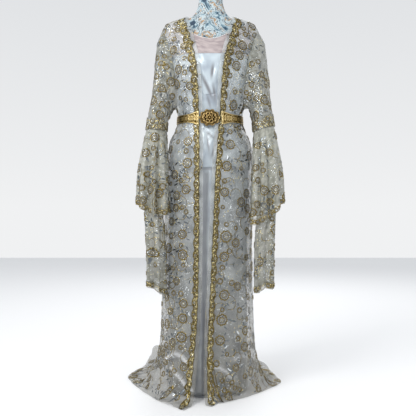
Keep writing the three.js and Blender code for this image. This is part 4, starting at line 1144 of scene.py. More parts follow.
@dataclass(frozen=True)
class WovenFinish(Finish):
    """Woven or knitted cloth: threads that cross at their spacing, on the cloth's own places."""

    shade: str = ""             # darker colour of random patches: partly the cloth's own uneven colour, partly painted shade of soft folds
    crossing: bool = True       # threads both ways; satin shows one way only
    patch_size: float = 70.0    # width of the uneven places, mm
    crease: str = ""            # colour painted where a piece marks its points: painted shade in deep folds, and a painted highlight on the top of a fold when it is pale
    low: str = ""               # painted shade: what its colour is multiplied by at the floor
    high: float = 1.25          # height where that painted shade has faded, metres
    rumple: float = 0.0         # depth of the cloth's own soft rumples, mm
    rumple_wide: float = 55.0   # their width, mm; they are four times as long

    def dress(self, tree: bpy.types.NodeTree, shader: bpy.types.Node) -> None:
        """Adds the threads as relief and slow random darker patches, partly the cloth's own uneven
        colour and partly painted shade of soft folds.
        """
        place = add_node(tree, "ShaderNodeUVMap", {"uv_map": "cloth"})
        scale = WAVE_PERIOD / (self.spacing * MM)
        height = None
        for way in ("X", "Y")[:2 if self.crossing else 1]:
            wave = add_node(tree, "ShaderNodeTexWave", {"bands_direction": way}, {
                "Vector": place.outputs["UV"], "Scale": scale, "Distortion": 0.6,
                "Detail": 1.0, "Detail Scale": 1.0})
            height = wave.outputs["Fac"] if height is None else add_node(
                tree, "ShaderNodeMath", {"operation": "MAXIMUM"},
                {0: height, 1: wave.outputs["Fac"]}).outputs[0]
        self.relief(tree, shader, height)
        if self.rumple:
            fine = shader.inputs["Normal"].links[0].from_node
            long_ = add_node(tree, "ShaderNodeMapping", inputs={
                "Vector": place.outputs["UV"], "Scale": (1.0, 0.25, 1.0)})
            soft = add_node(tree, "ShaderNodeTexNoise", inputs={
                "Vector": long_.outputs["Vector"], "Scale": 1 / (self.rumple_wide * MM),
                "Detail": 1.5, "Distortion": 0.8})
            rise = add_node(tree, "ShaderNodeBump", inputs={
                "Height": soft.outputs["Fac"], "Strength": 1.0, "Distance": self.rumple * MM})
            tree.links.new(rise.outputs["Normal"], fine.inputs["Normal"])
        # Random darker patches: partly the cloth's own uneven colour, partly painted shade of soft
        # folds.
        if self.shade:
            slow = add_node(tree, "ShaderNodeTexNoise", inputs={
                "Vector": place.outputs["UV"], "Scale": 1 / (self.patch_size * MM),
                "Detail": 2.0})
            self.tint(tree, shader, slow.outputs["Fac"],
                      ((0.35, self.shade), (0.65, self.colour)))
        # Painted shade: the colour is darkened towards the floor.
        if self.shade and self.low:
            self.deepen(tree, shader)
        # Painted shade and painted highlight: the colour moves towards the marked one where a piece
        # marks its points.
        if self.shade and self.crease:
            deep = add_node(tree, "ShaderNodeAttribute", {"attribute_name": "crease"})
            mix = add_node(tree, "ShaderNodeMix", {"data_type": "RGBA"}, {
                0: deep.outputs["Fac"], 6: shader.inputs["Base Color"].links[0].from_socket,
                7: linear(self.crease)})
            tree.links.new(mix.outputs[2], shader.inputs["Base Color"])

    def deepen(self, tree: bpy.types.NodeTree, shader: bpy.types.Node) -> None:
        """Paints shade: multiplies the colour by a darker colour at the floor that fades upwards.
        """
        place = add_node(tree, "ShaderNodeTexCoord")
        split = add_node(tree, "ShaderNodeSeparateXYZ", inputs={
            "Vector": place.outputs["Object"]})
        level = add_node(tree, "ShaderNodeMath", {"operation": "DIVIDE"}, {
            0: split.outputs["Z"], 1: self.high})
        floor_shade = add_node(tree, "ShaderNodeValToRGB", inputs={"Fac": level.outputs[0]})
        for mark, colour in zip(floor_shade.color_ramp.elements, (self.low, "#ffffff")):
            mark.color = linear(colour)
        mix = add_node(tree, "ShaderNodeMix", {"data_type": "RGBA", "blend_type": "MULTIPLY"}, {
            0: 1.0, 6: shader.inputs["Base Color"].links[0].from_socket,
            7: floor_shade.outputs["Color"]})
        tree.links.new(mix.outputs[2], shader.inputs["Base Color"])


@dataclass(frozen=True)
class KnottedLace(Finish):
    """Metallic lace: pale knots and dark gaps between them, as wide as its spacing."""

    gap: str = "#2f2711"
    knot: str = "#bab185"

    def dress(self, tree: bpy.types.NodeTree, shader: bpy.types.Node) -> None:
        """Colours and raises the ground by one noise."""
        place = add_node(tree, "ShaderNodeTexCoord")
        knots = add_node(tree, "ShaderNodeTexNoise", inputs={
            "Vector": place.outputs["Object"], "Scale": 1 / (self.spacing * MM), "Detail": 2.0})
        self.tint(tree, shader, knots.outputs["Fac"],
                  ((0.44, self.gap), (0.5, self.colour), (0.57, self.knot)))
        self.relief(tree, shader, knots.outputs["Fac"])


@dataclass(frozen=True)
class CastMetal(Finish):
    """Cast and plated metal: bright on its high points and dark in its hollows."""

    hollow: str = "#2e1f0c"
    bright: str = "#c9a55a"

    def dress(self, tree: bpy.types.NodeTree, shader: bpy.types.Node) -> None:
        """Colours the metal by the height stored on each point, broken up by a grain."""
        height = add_node(tree, "ShaderNodeAttribute", {"attribute_name": "height"})
        place = add_node(tree, "ShaderNodeTexCoord")
        grain = add_node(tree, "ShaderNodeTexNoise", inputs={
            "Vector": place.outputs["Object"], "Scale": 1 / (self.spacing * MM), "Detail": 4.0})
        worn = add_node(tree, "ShaderNodeMath", {"operation": "MULTIPLY_ADD"}, {
            0: grain.outputs["Fac"], 1: 0.5, 2: height.outputs["Fac"]})
        self.tint(tree, shader, worn.outputs[0],
                  ((0.3, self.hollow), (0.62, self.colour), (1.0, self.bright)))
        self.relief(tree, shader, grain.outputs["Fac"])


@dataclass(frozen=True)
class MarbledJersey(Finish):
    """Stretched jersey printed with a plain marbling of pale ground, slate veins and gilt."""

    vein: str = "#1f3c52"
    gilt: str = "#b07f38"
    cell: float = 62.0          # width of the marbling's cells, mm

    def dress(self, tree: bpy.types.NodeTree, shader: bpy.types.Node) -> None:
        """Bends a slow noise into veins: pale, then a band of slate, a thin gilt line, pale."""
        place = add_node(tree, "ShaderNodeTexCoord")
        veins = add_node(tree, "ShaderNodeTexNoise", inputs={
            "Vector": place.outputs["Object"], "Scale": 1 / (self.cell * MM), "Detail": 5.0,
            "Roughness": 0.62, "Distortion": 1.4})
        self.tint(tree, shader, veins.outputs["Fac"], (
            (0.36, self.vein), (0.41, "#6d8b99"), (0.45, self.colour), (0.48, self.colour),
            (0.492, "#26323c"), (0.51, "#26323c"), (0.522, self.colour), (0.555, self.colour),
            (0.572, self.gilt), (0.588, self.gilt), (0.6, "#7d9aa6"), (0.66, self.vein)))
        knit = add_node(tree, "ShaderNodeTexNoise", inputs={
            "Vector": place.outputs["Object"], "Scale": 1 / (self.spacing * MM), "Detail": 2.0})
        self.relief(tree, shader, knit.outputs["Fac"])


# Duchess satin: weft floats give a sharp, slightly streaked gloss. Threads drawn at 1.1 mm.
# The satin's colour darkens towards the floor as painted shade. Its grey marks are painted shade in
# the pleat, in the dips of the slanting creases and under the tunic's ledge.
SATIN = WovenFinish("blue_white_satin", "#d3dfe5", 0.3, metallic=0.25, sheen=0.1,
                    anisotropic=0.3, spacing=1.1, depth=0.1, shade="#a9b4bf", crossing=False,
                    patch_size=80.0, low="#cbc2ba", rumple=9.0, rumple_wide=60.0,
                    crease="#85868a")
# Silk tulle, so open that what lies under it shows through. Its mesh is drawn at 1.6 mm.
# The net's colour darkens towards the floor as painted shade. The white marked on the front panels'
# sharp folds is a painted highlight.
NET = WovenFinish("sheer_tulle", "#e2e7e7", 0.46, metallic=0.1, alpha=0.44, sheen=0.2,
                  spacing=1.6, depth=0.5, shade="#a6a9a8", patch_size=55.0, low="#a49c8f",
                  rumple=5.0, rumple_wide=42.0, crease="#ffffff")
# Net that stands denser than the robe's, as if doubled. Its colour darkens towards the floor as
# painted shade.
SLEEVE_NET = WovenFinish("doubled_tulle", "#a9aaa0", 0.46, metallic=0.12, alpha=0.62, sheen=0.2,
                         spacing=1.6, depth=0.5, shade="#7d7e73", patch_size=17.0,
                         low="#8f8c82", rumple=7.0, rumple_wide=26.0)
# The same net painted paler for the flounces than for the sleeves: a lit copy of one material,
# which is painted light.
FLOUNCE_NET = replace(SLEEVE_NET, name="flounce_tulle", colour="#d3d4c8", shade="#a3a498")
YOKE = WovenFinish("blush_lining", "#bdb0ae", 0.4, sheen=0.1, spacing=1.4, depth=0.3,
                   shade="#9d9091", patch_size=30.0)
BINDING = WovenFinish("white_binding", "#f0eeec", 0.5, spacing=1.2, depth=0.4)
JERSEY = MarbledJersey("marbled_jersey", "#bccbd0", 0.6, spacing=1.2, depth=0.25)
STAND_PAINT = Finish("satin_grey_paint", "#8d9196", 0.4, spacing=1.5, depth=0.1)
# Metal-wrapped thread: many small facets, so it glints without a mirror's gloss.
GOLD_THREAD = Finish("gold_wrapped_thread", "#635428", 0.3, 0.85, spacing=0.9, depth=0.5)
GOLD_LACE = KnottedLace("gold_lace_ground", "#5b5130", 0.5, 0.4, spacing=5.0, depth=0.9)
PALE_GOLD = Finish("pale_gold_thread", "#d8c892", 0.28, 0.85, spacing=0.9, depth=0.5)
SILVER = Finish("silver_sequin", "#d3d8da", 0.15, 0.95, spacing=2.0, depth=0.1)
SLATE = Finish("slate_sequin", "#686d70", 0.25, 0.85, spacing=2.0, depth=0.1)
PETAL = Finish("organza_petal", "#85827a", 0.4, 0.3, alpha=0.36, sheen=0.2, spacing=1.2,
               depth=0.4)
GILT = CastMetal("gilt_filigree", "#a98d50", 0.3, 1.0, spacing=1.6, depth=0.3,
                 hollow="#453411", bright="#e0cc98")
ANTIQUE = CastMetal("antique_gold_plaque", "#5f4822", 0.34, 1.0, spacing=1.8, depth=0.3,
                    hollow="#1c130a", bright="#c6aa72")
FLOOR_PAINT = Finish("pale_floor", "#fafafa", 0.9, spacing=4.0, depth=0.02)


class Stock:
    """Materials made once and shared by the pieces."""

    def __init__(self) -> None:
        """Starts with none."""
        self.made: dict[str, bpy.types.Material] = {}

    def of(self, finish: Finish) -> bpy.types.Material:
        """Material of a finish."""
        if finish.name not in self.made:
            self.made[finish.name] = finish.make()
        return self.made[finish.name]


STOCK = Stock()


def declare(piece: bpy.types.Object, slot: str, *nodes: str) -> bpy.types.Object:
    """Rides a piece on the body and hides the nodes that it stands for.

    Args:
        piece: Piece of the visual model.
        slot: Record's material slot; not used.
        nodes: Nodes that the piece replaces.
    Returns:
        The piece.
    """
    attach(piece, "root")
    if nodes:
        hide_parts(*nodes)
    log.info("%s: %d faces", piece.name, len(piece.data.polygons))
    return piece


# ------------------------------------------------------------------ needlework
class Yarn(Enum):
    """What a stitch is made of; its value is its material slot on a piece."""

    GOLD = 0
    PALE = 1
    PETAL = 2
    SILVER = 3
    SLATE = 4

    @property
    def finish(self) -> Finish:
        """Finish of the yarn."""
        return (GOLD_THREAD, PALE_GOLD, PETAL, SILVER, SLATE)[self.value]


def ring_line(radius: float, lobes: int, depth: float, count: int, start: float = 0.0) -> Array:
    """Closed scalloped line: the radius dips by a share at each of its lobes' meetings."""
    a = np.arange(count) / count * 2 * np.pi + start
    r = radius * (1 - depth * (1 - np.abs(np.sin(a * lobes / 2))))
    return np.stack([r * np.cos(a), r * np.sin(a)], -1)


def bowed_line(start: Array, end: Array, bow: float, count: int = 12) -> Array:
    """Open line between two places, bent to its left by a share of its length.

    The bend is a half sine, with a smaller full sine that gives the stem its second turn.
    """
    t = np.linspace(0, 1, count)[:, None]
    way = end - start
    left = np.array([-way[1], way[0]])
    return start + way * t + left * bow * (np.sin(np.pi * t) + 0.45 * np.sin(2 * np.pi * t))


@dataclass
class Needlework:
    """Raised threads, petals, beads and sequins on one piece of cloth."""

    patch: Patch
    base: float = 0.25          # height of the stitches' feet over the cloth

    def __post_init__(self) -> None:
        """Starts with no stitches."""
        self.points: list[Array] = []
        self.faces: list[list[int]] = []
        self.slots: list[int] = []
        self.count = 0

    def add(self, points: Array, faces: Array, yarn: Yarn) -> None:
        """Keeps some points and the faces between them."""
        self.points.append(points.reshape(-1, 3))
        self.faces.extend((faces + self.count).tolist())
        self.slots.extend([yarn.value] * len(faces))
        self.count += points.reshape(-1, 3).shape[0]

    def thread(self, u: float, v: float, line: Array, wide: float, high: float, yarn: Yarn,
               closed: bool = False, taper: bool = False, turn: float = 0.0) -> None:
        """Rounded cord along a flat line: two feet and a crown, joined into a low ridge.

        Args:
            u: Share of the line's centre across the cloth.
            v: Share of the line's centre up the cloth.
            line: Places in millimetres from that centre.
            wide: Width of the cord.
            high: Height of its crown.
            yarn: What it is made of.
            closed: Joins its ends.
            taper: Thins it to both ends.
            turn: Turn of the line about its centre.
        """
        if closed:
            way = np.roll(line, -1, 0) - np.roll(line, 1, 0)
        else:
            way = np.gradient(line, axis=0)
        left = unit(np.stack([-way[:, 1], way[:, 0]], -1)) * wide / 2
        thin = np.ones((len(line), 1))
        if taper:
            thin = np.sin(np.linspace(0.12, np.pi - 0.12, len(line)))[:, None] ** 0.6
        flat = np.stack([line + left * thin, line, line - left * thin])
        shares = self.patch.spread(u, v, flat, turn)
        lift = np.stack([0 * thin[:, 0], high * thin[:, 0], 0 * thin[:, 0]]) + self.base
        points = self.patch.at(*shares, lift)
        faces = grid_faces(3, len(line), closed, True)
        self.add(points, faces, yarn)

    def petals(self, u: float, v: float, line: Array, high: float, yarn: Yarn,
               turn: float = 0.0) -> None:
        """Filled shape inside a closed line, raised half way between its middle and edge."""
        middle = line.mean(0)
        flat = np.stack([line, middle + 0.5 * (line - middle), middle + 0.06 * (line - middle)])
        shares = self.patch.spread(u, v, flat, turn)
        lift = np.array([0.0, high, 0.4 * high])[:, None] + self.base + 0 * line[None, :, 0]
        faces = grid_faces(3, len(line), True, False)
        self.add(self.patch.at(*shares, lift), faces, yarn)

    def beads(self, u: float, v: float, places: Array, size: float, high: float, yarn: Yarn,
              turn: float = 0.0) -> None:
        """Six-sided beads or cupped sequins at flat places: a ring of feet and a crown each."""
        a = np.arange(6) * np.pi / 3
        feet = np.stack([np.cos(a), np.sin(a)], -1) * size / 2
        flat = np.concatenate([places[:, None] + feet[None], places[:, None]], 1)
        shares = self.patch.spread(u, v, flat, turn)
        lift = np.concatenate([np.zeros((len(places), 6)), np.full((len(places), 1), high)], 1)
        ring = np.arange(6)
        one = np.stack([ring, (ring + 1) % 6, np.full(6, 6)], -1)
        faces = (one[None] + 7 * np.arange(len(places))[:, None, None]).reshape(-1, 3)
        self.add(self.patch.at(*shares, lift + self.base), faces, yarn)

    def flower(self, u: float, v: float, radius: float, turn: float = 0.0) -> None:
        """Round flower: scalloped gold rim, sheer petals, an inner ring and a beaded middle."""
        large = radius > 12
        lobes = 8 if large else 6
        turned = turn + radius
        self.petals(u, v, ring_line(radius * 0.96, lobes, 0.2, 2 * lobes), 0.7, Yarn.PETAL, turn)
        self.thread(u, v, ring_line(radius, lobes, 0.2, 4 * lobes), 0.13 * radius + 2.4, 1.9,
                    Yarn.GOLD, True, turn=turn)
        self.beads(u, v, ring_line(radius, lobes, 0.0, lobes, np.pi / lobes), 0.1 * radius + 2.3,
                   2.6, Yarn.PALE, turn)
        if large:
            self.thread(u, v, ring_line(radius * 0.5, lobes, 0.15, 2 * lobes), 1.8, 1.3, Yarn.GOLD,
                        True, turn=turned)
            self.beads(u, v, ring_line(radius * 0.74, lobes, 0, lobes), 2.8, 1.4, Yarn.SILVER, turn)
            self.beads(u, v, ring_line(radius * 0.64, lobes, 0, lobes, 0.4), 2.6, 1.2, Yarn.SLATE,
                       turned)
            self.beads(u, v, ring_line(radius * 0.3, 5, 0, 5), 2.8, 1.6, Yarn.PALE, turned)
        self.beads(u, v, np.zeros((1, 2)), 0.2 * radius, 1.4, Yarn.SILVER, turn)

    def leaf(self, u: float, v: float, centre: Array, way: float, long_: float,
             yarn: Yarn = Yarn.SLATE) -> None:
        """Slim leaf of overlapping sequins, pointed at both ends, with a raised midrib."""
        t = np.linspace(0, 1, 6)
        x = (t - 0.5) * long_
        y = 0.5 * 0.32 * long_ * np.sin(np.pi * t)
        cos, sin = math.cos(way), math.sin(way)
        flat = np.stack([np.stack([x, side * y + 0.06 * x * x / long_], -1)
                         for side in (1, 0, -1)]) @ np.array([[cos, sin], [-sin, cos]]) + centre
        shares = self.patch.spread(u, v, flat)
        lift = np.stack([0 * t, 0.9 * np.sin(np.pi * t), 0 * t]) + self.base
        self.add(self.patch.at(*shares, lift), grid_faces(3, 6, False, True), yarn)

    def sprig(self, u: float, v: float, radius: float, way: float, seed: int) -> None:
        """Two or three leaves that stand off a flower's rim, and a curled gold tendril."""
        rng = np.random.default_rng(seed)
        for k in range(2 + seed % 2):
            turned = way + (k - 0.7) * 0.75 + rng.uniform(-0.2, 0.2)
            reach = radius + 8.5 + rng.uniform(0, 4)
            centre = reach * np.array([math.cos(turned), math.sin(turned)])
            self.leaf(u, v, centre, turned + rng.uniform(-0.5, 0.5), rng.uniform(15, 23))
        t = np.linspace(0, 1, 16)
        curl = way + math.pi + 1.3 * t * (1 if seed % 2 else -1)
        reach = radius + (26 + 16 * (radius > 12)) * np.sin(t * np.pi * 0.7)
        line = np.stack([reach * np.cos(curl), reach * np.sin(curl)], -1)
        self.thread(u, v, line, 1.9, 1.1, Yarn.GOLD)
        self.beads(u, v, line[[5, 9, 12, 15]] + rng.uniform(-2.5, 2.5, (4, 2)), 3.2, 1.2,
                   Yarn.PALE)

    def build(self, name: str) -> bpy.types.Object:
        """Makes one mesh of all the stitches."""
        return make_mesh(name, np.concatenate(self.points), self.faces,
                         [STOCK.of(yarn.finish) for yarn in Yarn], np.array(self.slots))


@dataclass
class Scatter:
    """Places spread evenly but without order over a patch, each its own distance apart."""

    patch: Patch
    seed: int
    span: tuple[float, float, float, float] = (0.0, 1.0, 0.0, 1.0)   # u from, to, v from, to

    def __post_init__(self) -> None:
        """Starts the random numbers and the list of taken places."""
        self.rng = np.random.default_rng(self.seed)
        self.taken = np.zeros((0, 3))
        self.room = np.zeros(0)

    def take(self, u: float, v: float, room: float) -> bool:
        """Takes a place when it is far enough from the ones already taken.

        Args:
            u: Share across.
            v: Share up.
            room: Radius that the place keeps free.
        Returns:
            Whether it was taken.
        """
        point = self.patch.at(u, v)
        if len(self.taken):
            away = np.linalg.norm(self.taken - point, axis=1)
            if (away < self.room + room).any():
                return False
        self.taken = np.concatenate([self.taken, point[None]])
        self.room = np.append(self.room, room)
        return True

    def spread(self, tries: int, room: float) -> Iterable[tuple[float, float]]:
        """Tries random places, each as likely as its cloth is large, and yields the taken ones."""
        low_u, high_u, low_v, high_v = self.span
        points = self.patch.points
        across = np.linalg.norm(np.diff(points, axis=1), axis=-1).mean(1)
        weight = across / across.max()
        for _ in range(tries):
            u = self.rng.uniform(low_u, high_u)
            v = self.rng.uniform(low_v, high_v)
            if self.rng.uniform() > weight[int(v * (len(weight) - 1))]:
                continue
            if self.take(u, v, room):
                yield u, v


@dataclass
class Embroidery:
    """Flowers, tendrils, leaves and sequins over one piece of cloth."""

    name: str
    patch: Patch
    seed: int
    margin: tuple[float, float, float, float] = (0.03, 0.97, 0.02, 0.98)
    seen: Sequence[tuple[float, float, float]] = ()   # front view's x, y and a radius in mm
    density: float = 1.0
    sparkle: float = 1.0
    large: tuple[float, float] = (15.0, 20.0)

    def build(self) -> bpy.types.Object:
        """Sets the known flowers first, then fills the rest of the cloth.

        Returns:
            One mesh of all the stitches.
        """
        work = Needlework(self.patch)
        places = Scatter(self.patch, self.seed, self.margin)
        rng = np.random.default_rng(self.seed + 7)
        flowers: list[tuple[float, float, float]] = []
        for x, y, radius in self.seen:
            u, v = self.patch.locate(x, y)
            low_u, high_u, low_v, high_v = self.margin
            u, v = min(max(u, low_u), high_u), min(max(v, low_v), high_v)
            if places.take(u, v, radius * 0.8):
                flowers.append((u, v, radius))
        flat = flat_places(self.patch.points)
        area = float(np.ptp(flat[:, 0]) * np.ptp(flat[:, 1]))
        tries = int(area / 2600 * self.density)
        for u, v in places.spread(tries, 25):
            flowers.append((u, v, rng.uniform(*self.large)))
        for u, v in places.spread(tries, 14):
            flowers.append((u, v, rng.uniform(7, 10.5)))
        for k, (u, v, radius) in enumerate(flowers):
            work.flower(u, v, radius, rng.uniform(0, 2 * np.pi))
            if radius > 12 or k % 2:
                work.sprig(u, v, radius, rng.uniform(0, 2 * np.pi), self.seed * 100 + k)
        for u, v in places.spread(2 * tries, 9):
            way = rng.uniform(0, np.pi)
            work.leaf(u, v, np.zeros(2), way, rng.uniform(15, 24),
                      Yarn.SLATE if rng.uniform() < 0.8 else Yarn.SILVER)
            if rng.uniform() < 0.5:
                work.thread(u, v, bowed_line(np.array([4.0, -12.0]), np.array([9.0, 14.0]),
                                             rng.uniform(-0.4, 0.4)), 1.3, 0.8, Yarn.GOLD,
                            turn=rng.uniform(0, 6.3), taper=True)
        low_u, high_u, low_v, high_v = self.margin
        for _ in range(int(area / 1400 * self.sparkle)):
            u, v = rng.uniform(low_u, high_u), rng.uniform(low_v, high_v)
            spots = rng.uniform(-18, 18, (4, 2))
            work.beads(u, v, spots, rng.uniform(2.2, 3.8), 0.8,
                       Yarn.SILVER if rng.uniform() < 0.75 else Yarn.PALE)
        return work.build(self.name)


# ------------------------------------------------------------------ lace
@dataclass
class LaceStrip:
    """Scalloped gold lace on a strip of cloth: its ground, cords, flowers and beads."""

    name: str
    patch: Patch                # columns from the straight edge outwards, rows along the lace
    pitch: float = 38.0         # length of one scallop
    dip: float = 0.36           # share of the width that the scallops cut in
    seed: int = 1
    cord_size: float = 1.0      # thickness of the cords, as a share of the front lace's

    def __post_init__(self) -> None:
        """Measures the strip: its length along each row and its width."""
        points = self.patch.points
        step = np.linalg.norm(np.diff(points[:, 0], axis=0), axis=-1)
        self.run = np.concatenate([[0.0], np.cumsum(step)])
        self.wide = np.linalg.norm(points[:, -1] - points[:, 0], axis=-1)

    def outline(self, run: Array) -> Array:
        """Share of the width that the lace reaches at a length: low arcs that meet in cusps."""
        return 1 - self.dip * (1 - np.minimum(np.abs(np.sin(np.pi * run / self.pitch)) * 1.15, 1))

    def inner(self, run: Array) -> Array:
        """Share of the width where the lace starts: an edge that sways a little."""
        return 0.07 + 0.05 * np.sin(run / 7.3) + 0.02 * np.sin(run / 2.9)

    def ground(self) -> bpy.types.Object:
        """Scalloped base with a knotted relief, as a closed shell."""
        rows, columns = self.patch.points.shape[:2]
        low, reach = self.inner(self.run)[:, None], self.outline(self.run)[:, None]
        u = low + np.linspace(0, 1, columns)[None] * (reach - low)
        v = np.broadcast_to(np.linspace(0, 1, rows)[:, None], u.shape)
        across = u * self.wide[:, None]
        run = np.broadcast_to(self.run[:, None], u.shape)
        knots = 0.4 * np.sin(run * 1.1) * np.sin(across * 1.2 + 0.4 * run)
        shape = Patch(self.patch.at(u, v, knots), side=self.patch.side)
        return cloth_shell(f"{self.name}_ground", shape, STOCK.of(GOLD_LACE), 0.8)

    def stitches(self) -> bpy.types.Object:
        """Cord on either edge, a flower in each scallop, buds and beads."""
        work = Needlework(self.patch, base=0.5)
        rng = np.random.default_rng(self.seed)
        total = self.run[-1]
        rows = len(self.run)
        v = np.linspace(0, 1, rows)
        self.cord(work, self.inner(self.run) + 1.2 / self.wide, v, 1.8 * self.cord_size,
                  Yarn.GOLD)
        self.cord(work, self.outline(self.run) - 1.2 / self.wide, v, 2.6 * self.cord_size,
                  Yarn.GOLD)
        count = max(int(total / self.pitch), 1)
        for k in range(count):
            run = (k + 0.5) * self.pitch
            if run > total:
                break
            at = self.share(run)
            wide = float(np.interp(run, self.run, self.wide))
            radius = 0.34 * wide
            work.flower(0.6, at, radius, rng.uniform(0, 6))
            work.flower(0.46, self.share(min(run + self.pitch / 2, total)), 0.2 * wide,
                        rng.uniform(0, 6))
            for side in (-1, 1):
                away = np.array([0.0, side * 0.33 * self.pitch])
                work.leaf(0.34, at, away, 0.5 * side + 1.2, 9, Yarn.PALE)
                work.leaf(0.74, at, away * 0.9, 2.4 * side, 8, Yarn.GOLD)
        for _ in range(int(total / 5)):
            spot = rng.uniform([-3, -4], [3, 4], (3, 2))
            work.beads(rng.uniform(0.14, 0.8), rng.uniform(0.01, 0.99), spot,
                       rng.uniform(2.0, 3.2), 1.6,
                       rng.choice([Yarn.SILVER, Yarn.PALE, Yarn.PALE, Yarn.GOLD, Yarn.SLATE]))
        return work.build(f"{self.name}_stitches")

    def share(self, run: float) -> float:
        """Share of the rows at a length along the strip."""
        return float(np.interp(run, self.run, np.linspace(0, 1, len(self.run))))

    def cord(self, work: Needlework, u: Array, v: Array, wide: float, yarn: Yarn) -> None:
        """Cord along the strip at a share of its width: two feet and a crown."""
        half = wide / 2 / self.wide
        shares = np.stack([u - half, u, u + half])
        lift = np.stack([0 * u, 0 * u + 0.7 * wide, 0 * u]) + work.base
        points = self.patch.at(shares, np.broadcast_to(v, shares.shape), lift)
        work.add(points, grid_faces(3, len(v), False, self.patch.side > 0), yarn)


# ------------------------------------------------------------------ belt
def belt_point(angle: Array, rise: Array, out: Array | float) -> Array:
    """Points over the robe at the waist: straight between two rings, moved outwards.

    Args:
        angle: Degrees from the front.
        rise: Height over the belt's middle.
        out: Distance from the cloth.
    Returns:
        Points, last axis x, y, z.
    """
    angle, rise, out = np.broadcast_arrays(np.asarray(angle, float), rise, out)
    low = ROBE.face(angle, level_of(WAIST - BELT_ZONE) + 0 * angle)
    high = ROBE.face(angle, level_of(WAIST + BELT_ZONE) + 0 * angle)
    share = (0.5 + rise / (2 * BELT_ZONE))[..., None]
    normal = ROBE.normal(angle, level_of(WAIST) + 0 * angle)
    return low + (high - low) * share + normal * out[..., None]


def rosette(x: Array, y: Array, radius: float, petals: int) -> Array:
    """Height of a small cast flower: a ring that waves in and out by its petals, and a boss."""
    r, a = np.hypot(x, y), np.arctan2(y, x)
    ring = bump((r - radius * (0.78 + 0.2 * np.cos(petals * a))) / (0.2 * radius))
    veins = 0.5 * bump((r - 0.55 * radius) / (0.3 * radius)) * (0.5 + 0.5 * np.cos(petals * a))
    return np.maximum(np.maximum(ring, veins), bump(r / (0.3 * radius)))


def scrollwork(run: Array, rise: Array, half: Array, pitch: float = 25.0) -> Array:
    """Height of cast filigree along a belt: rims, beads, flowers and the scrolls between them.

    Args:
        run: Length along the belt.
        rise: Height over its middle.
        half: Half of its height there.
        pitch: Distance between two flowers.
    Returns:
        Heights from 0 to 1.
    """
    across = rise / half
    place = run % pitch - pitch / 2
    other = (run + pitch / 2) % pitch - pitch / 2
    flower = rosette(place, rise, 8.6, 7)
    curl = np.zeros_like(flower)
    for side in (-1, 1):
        r = np.hypot(other, rise - side * 0.42 * half)
        curl = np.maximum(curl, bump((r - 3.9) / 1.0))
        curl = np.maximum(curl, 0.8 * bump(r / 1.5))
    stem = 0.7 * bump((rise - 4.5 * np.sin(2 * np.pi * run / pitch)) / 1.0)
    rim = bump((np.abs(across) - 0.93) / 0.08)
    beads = bump((np.abs(across) - 0.8) / 0.07) * (0.55 + 0.45 * np.cos(2 * np.pi * run / 2.6))
    inner = np.maximum(np.maximum(flower, curl), stem) * (np.abs(across) < 0.74)
    return np.maximum(np.maximum(rim, beads), inner)


def cast_plate(name: str, points: Array, normals: Array, height: Array, relief: float, wall: float,
               finish: Finish) -> bpy.types.Object:
    """Closed cast plate: a face with its relief, a smooth back and the walls between them.

    Args:
        name: Name of the piece.
        points: Grid of the face without its relief.
        normals: Outward normals of the grid.
        height: Relief from 0 to 1, also kept as the attribute that colours the metal.
        relief: Depth of the relief.
        wall: Thickness under it.
        finish: Metal.
    Returns:
        The plate.
    """
    patch = Patch(points + normals * (height * relief)[..., None])
    back = points - normals * wall
    rows, columns = height.shape
    shape = cloth_shell(name, patch, STOCK.of(finish), wall)
    inner = back.reshape(-1, 3)
    total = np.concatenate([patch.points.reshape(-1, 3), inner]) * MM
    shape.data.vertices.foreach_set("co", total.astype(np.float32).ravel())
    mark_points(shape, "height", np.concatenate([height.ravel(), np.zeros(rows * columns)]))
    shape.data.update()
    return shape


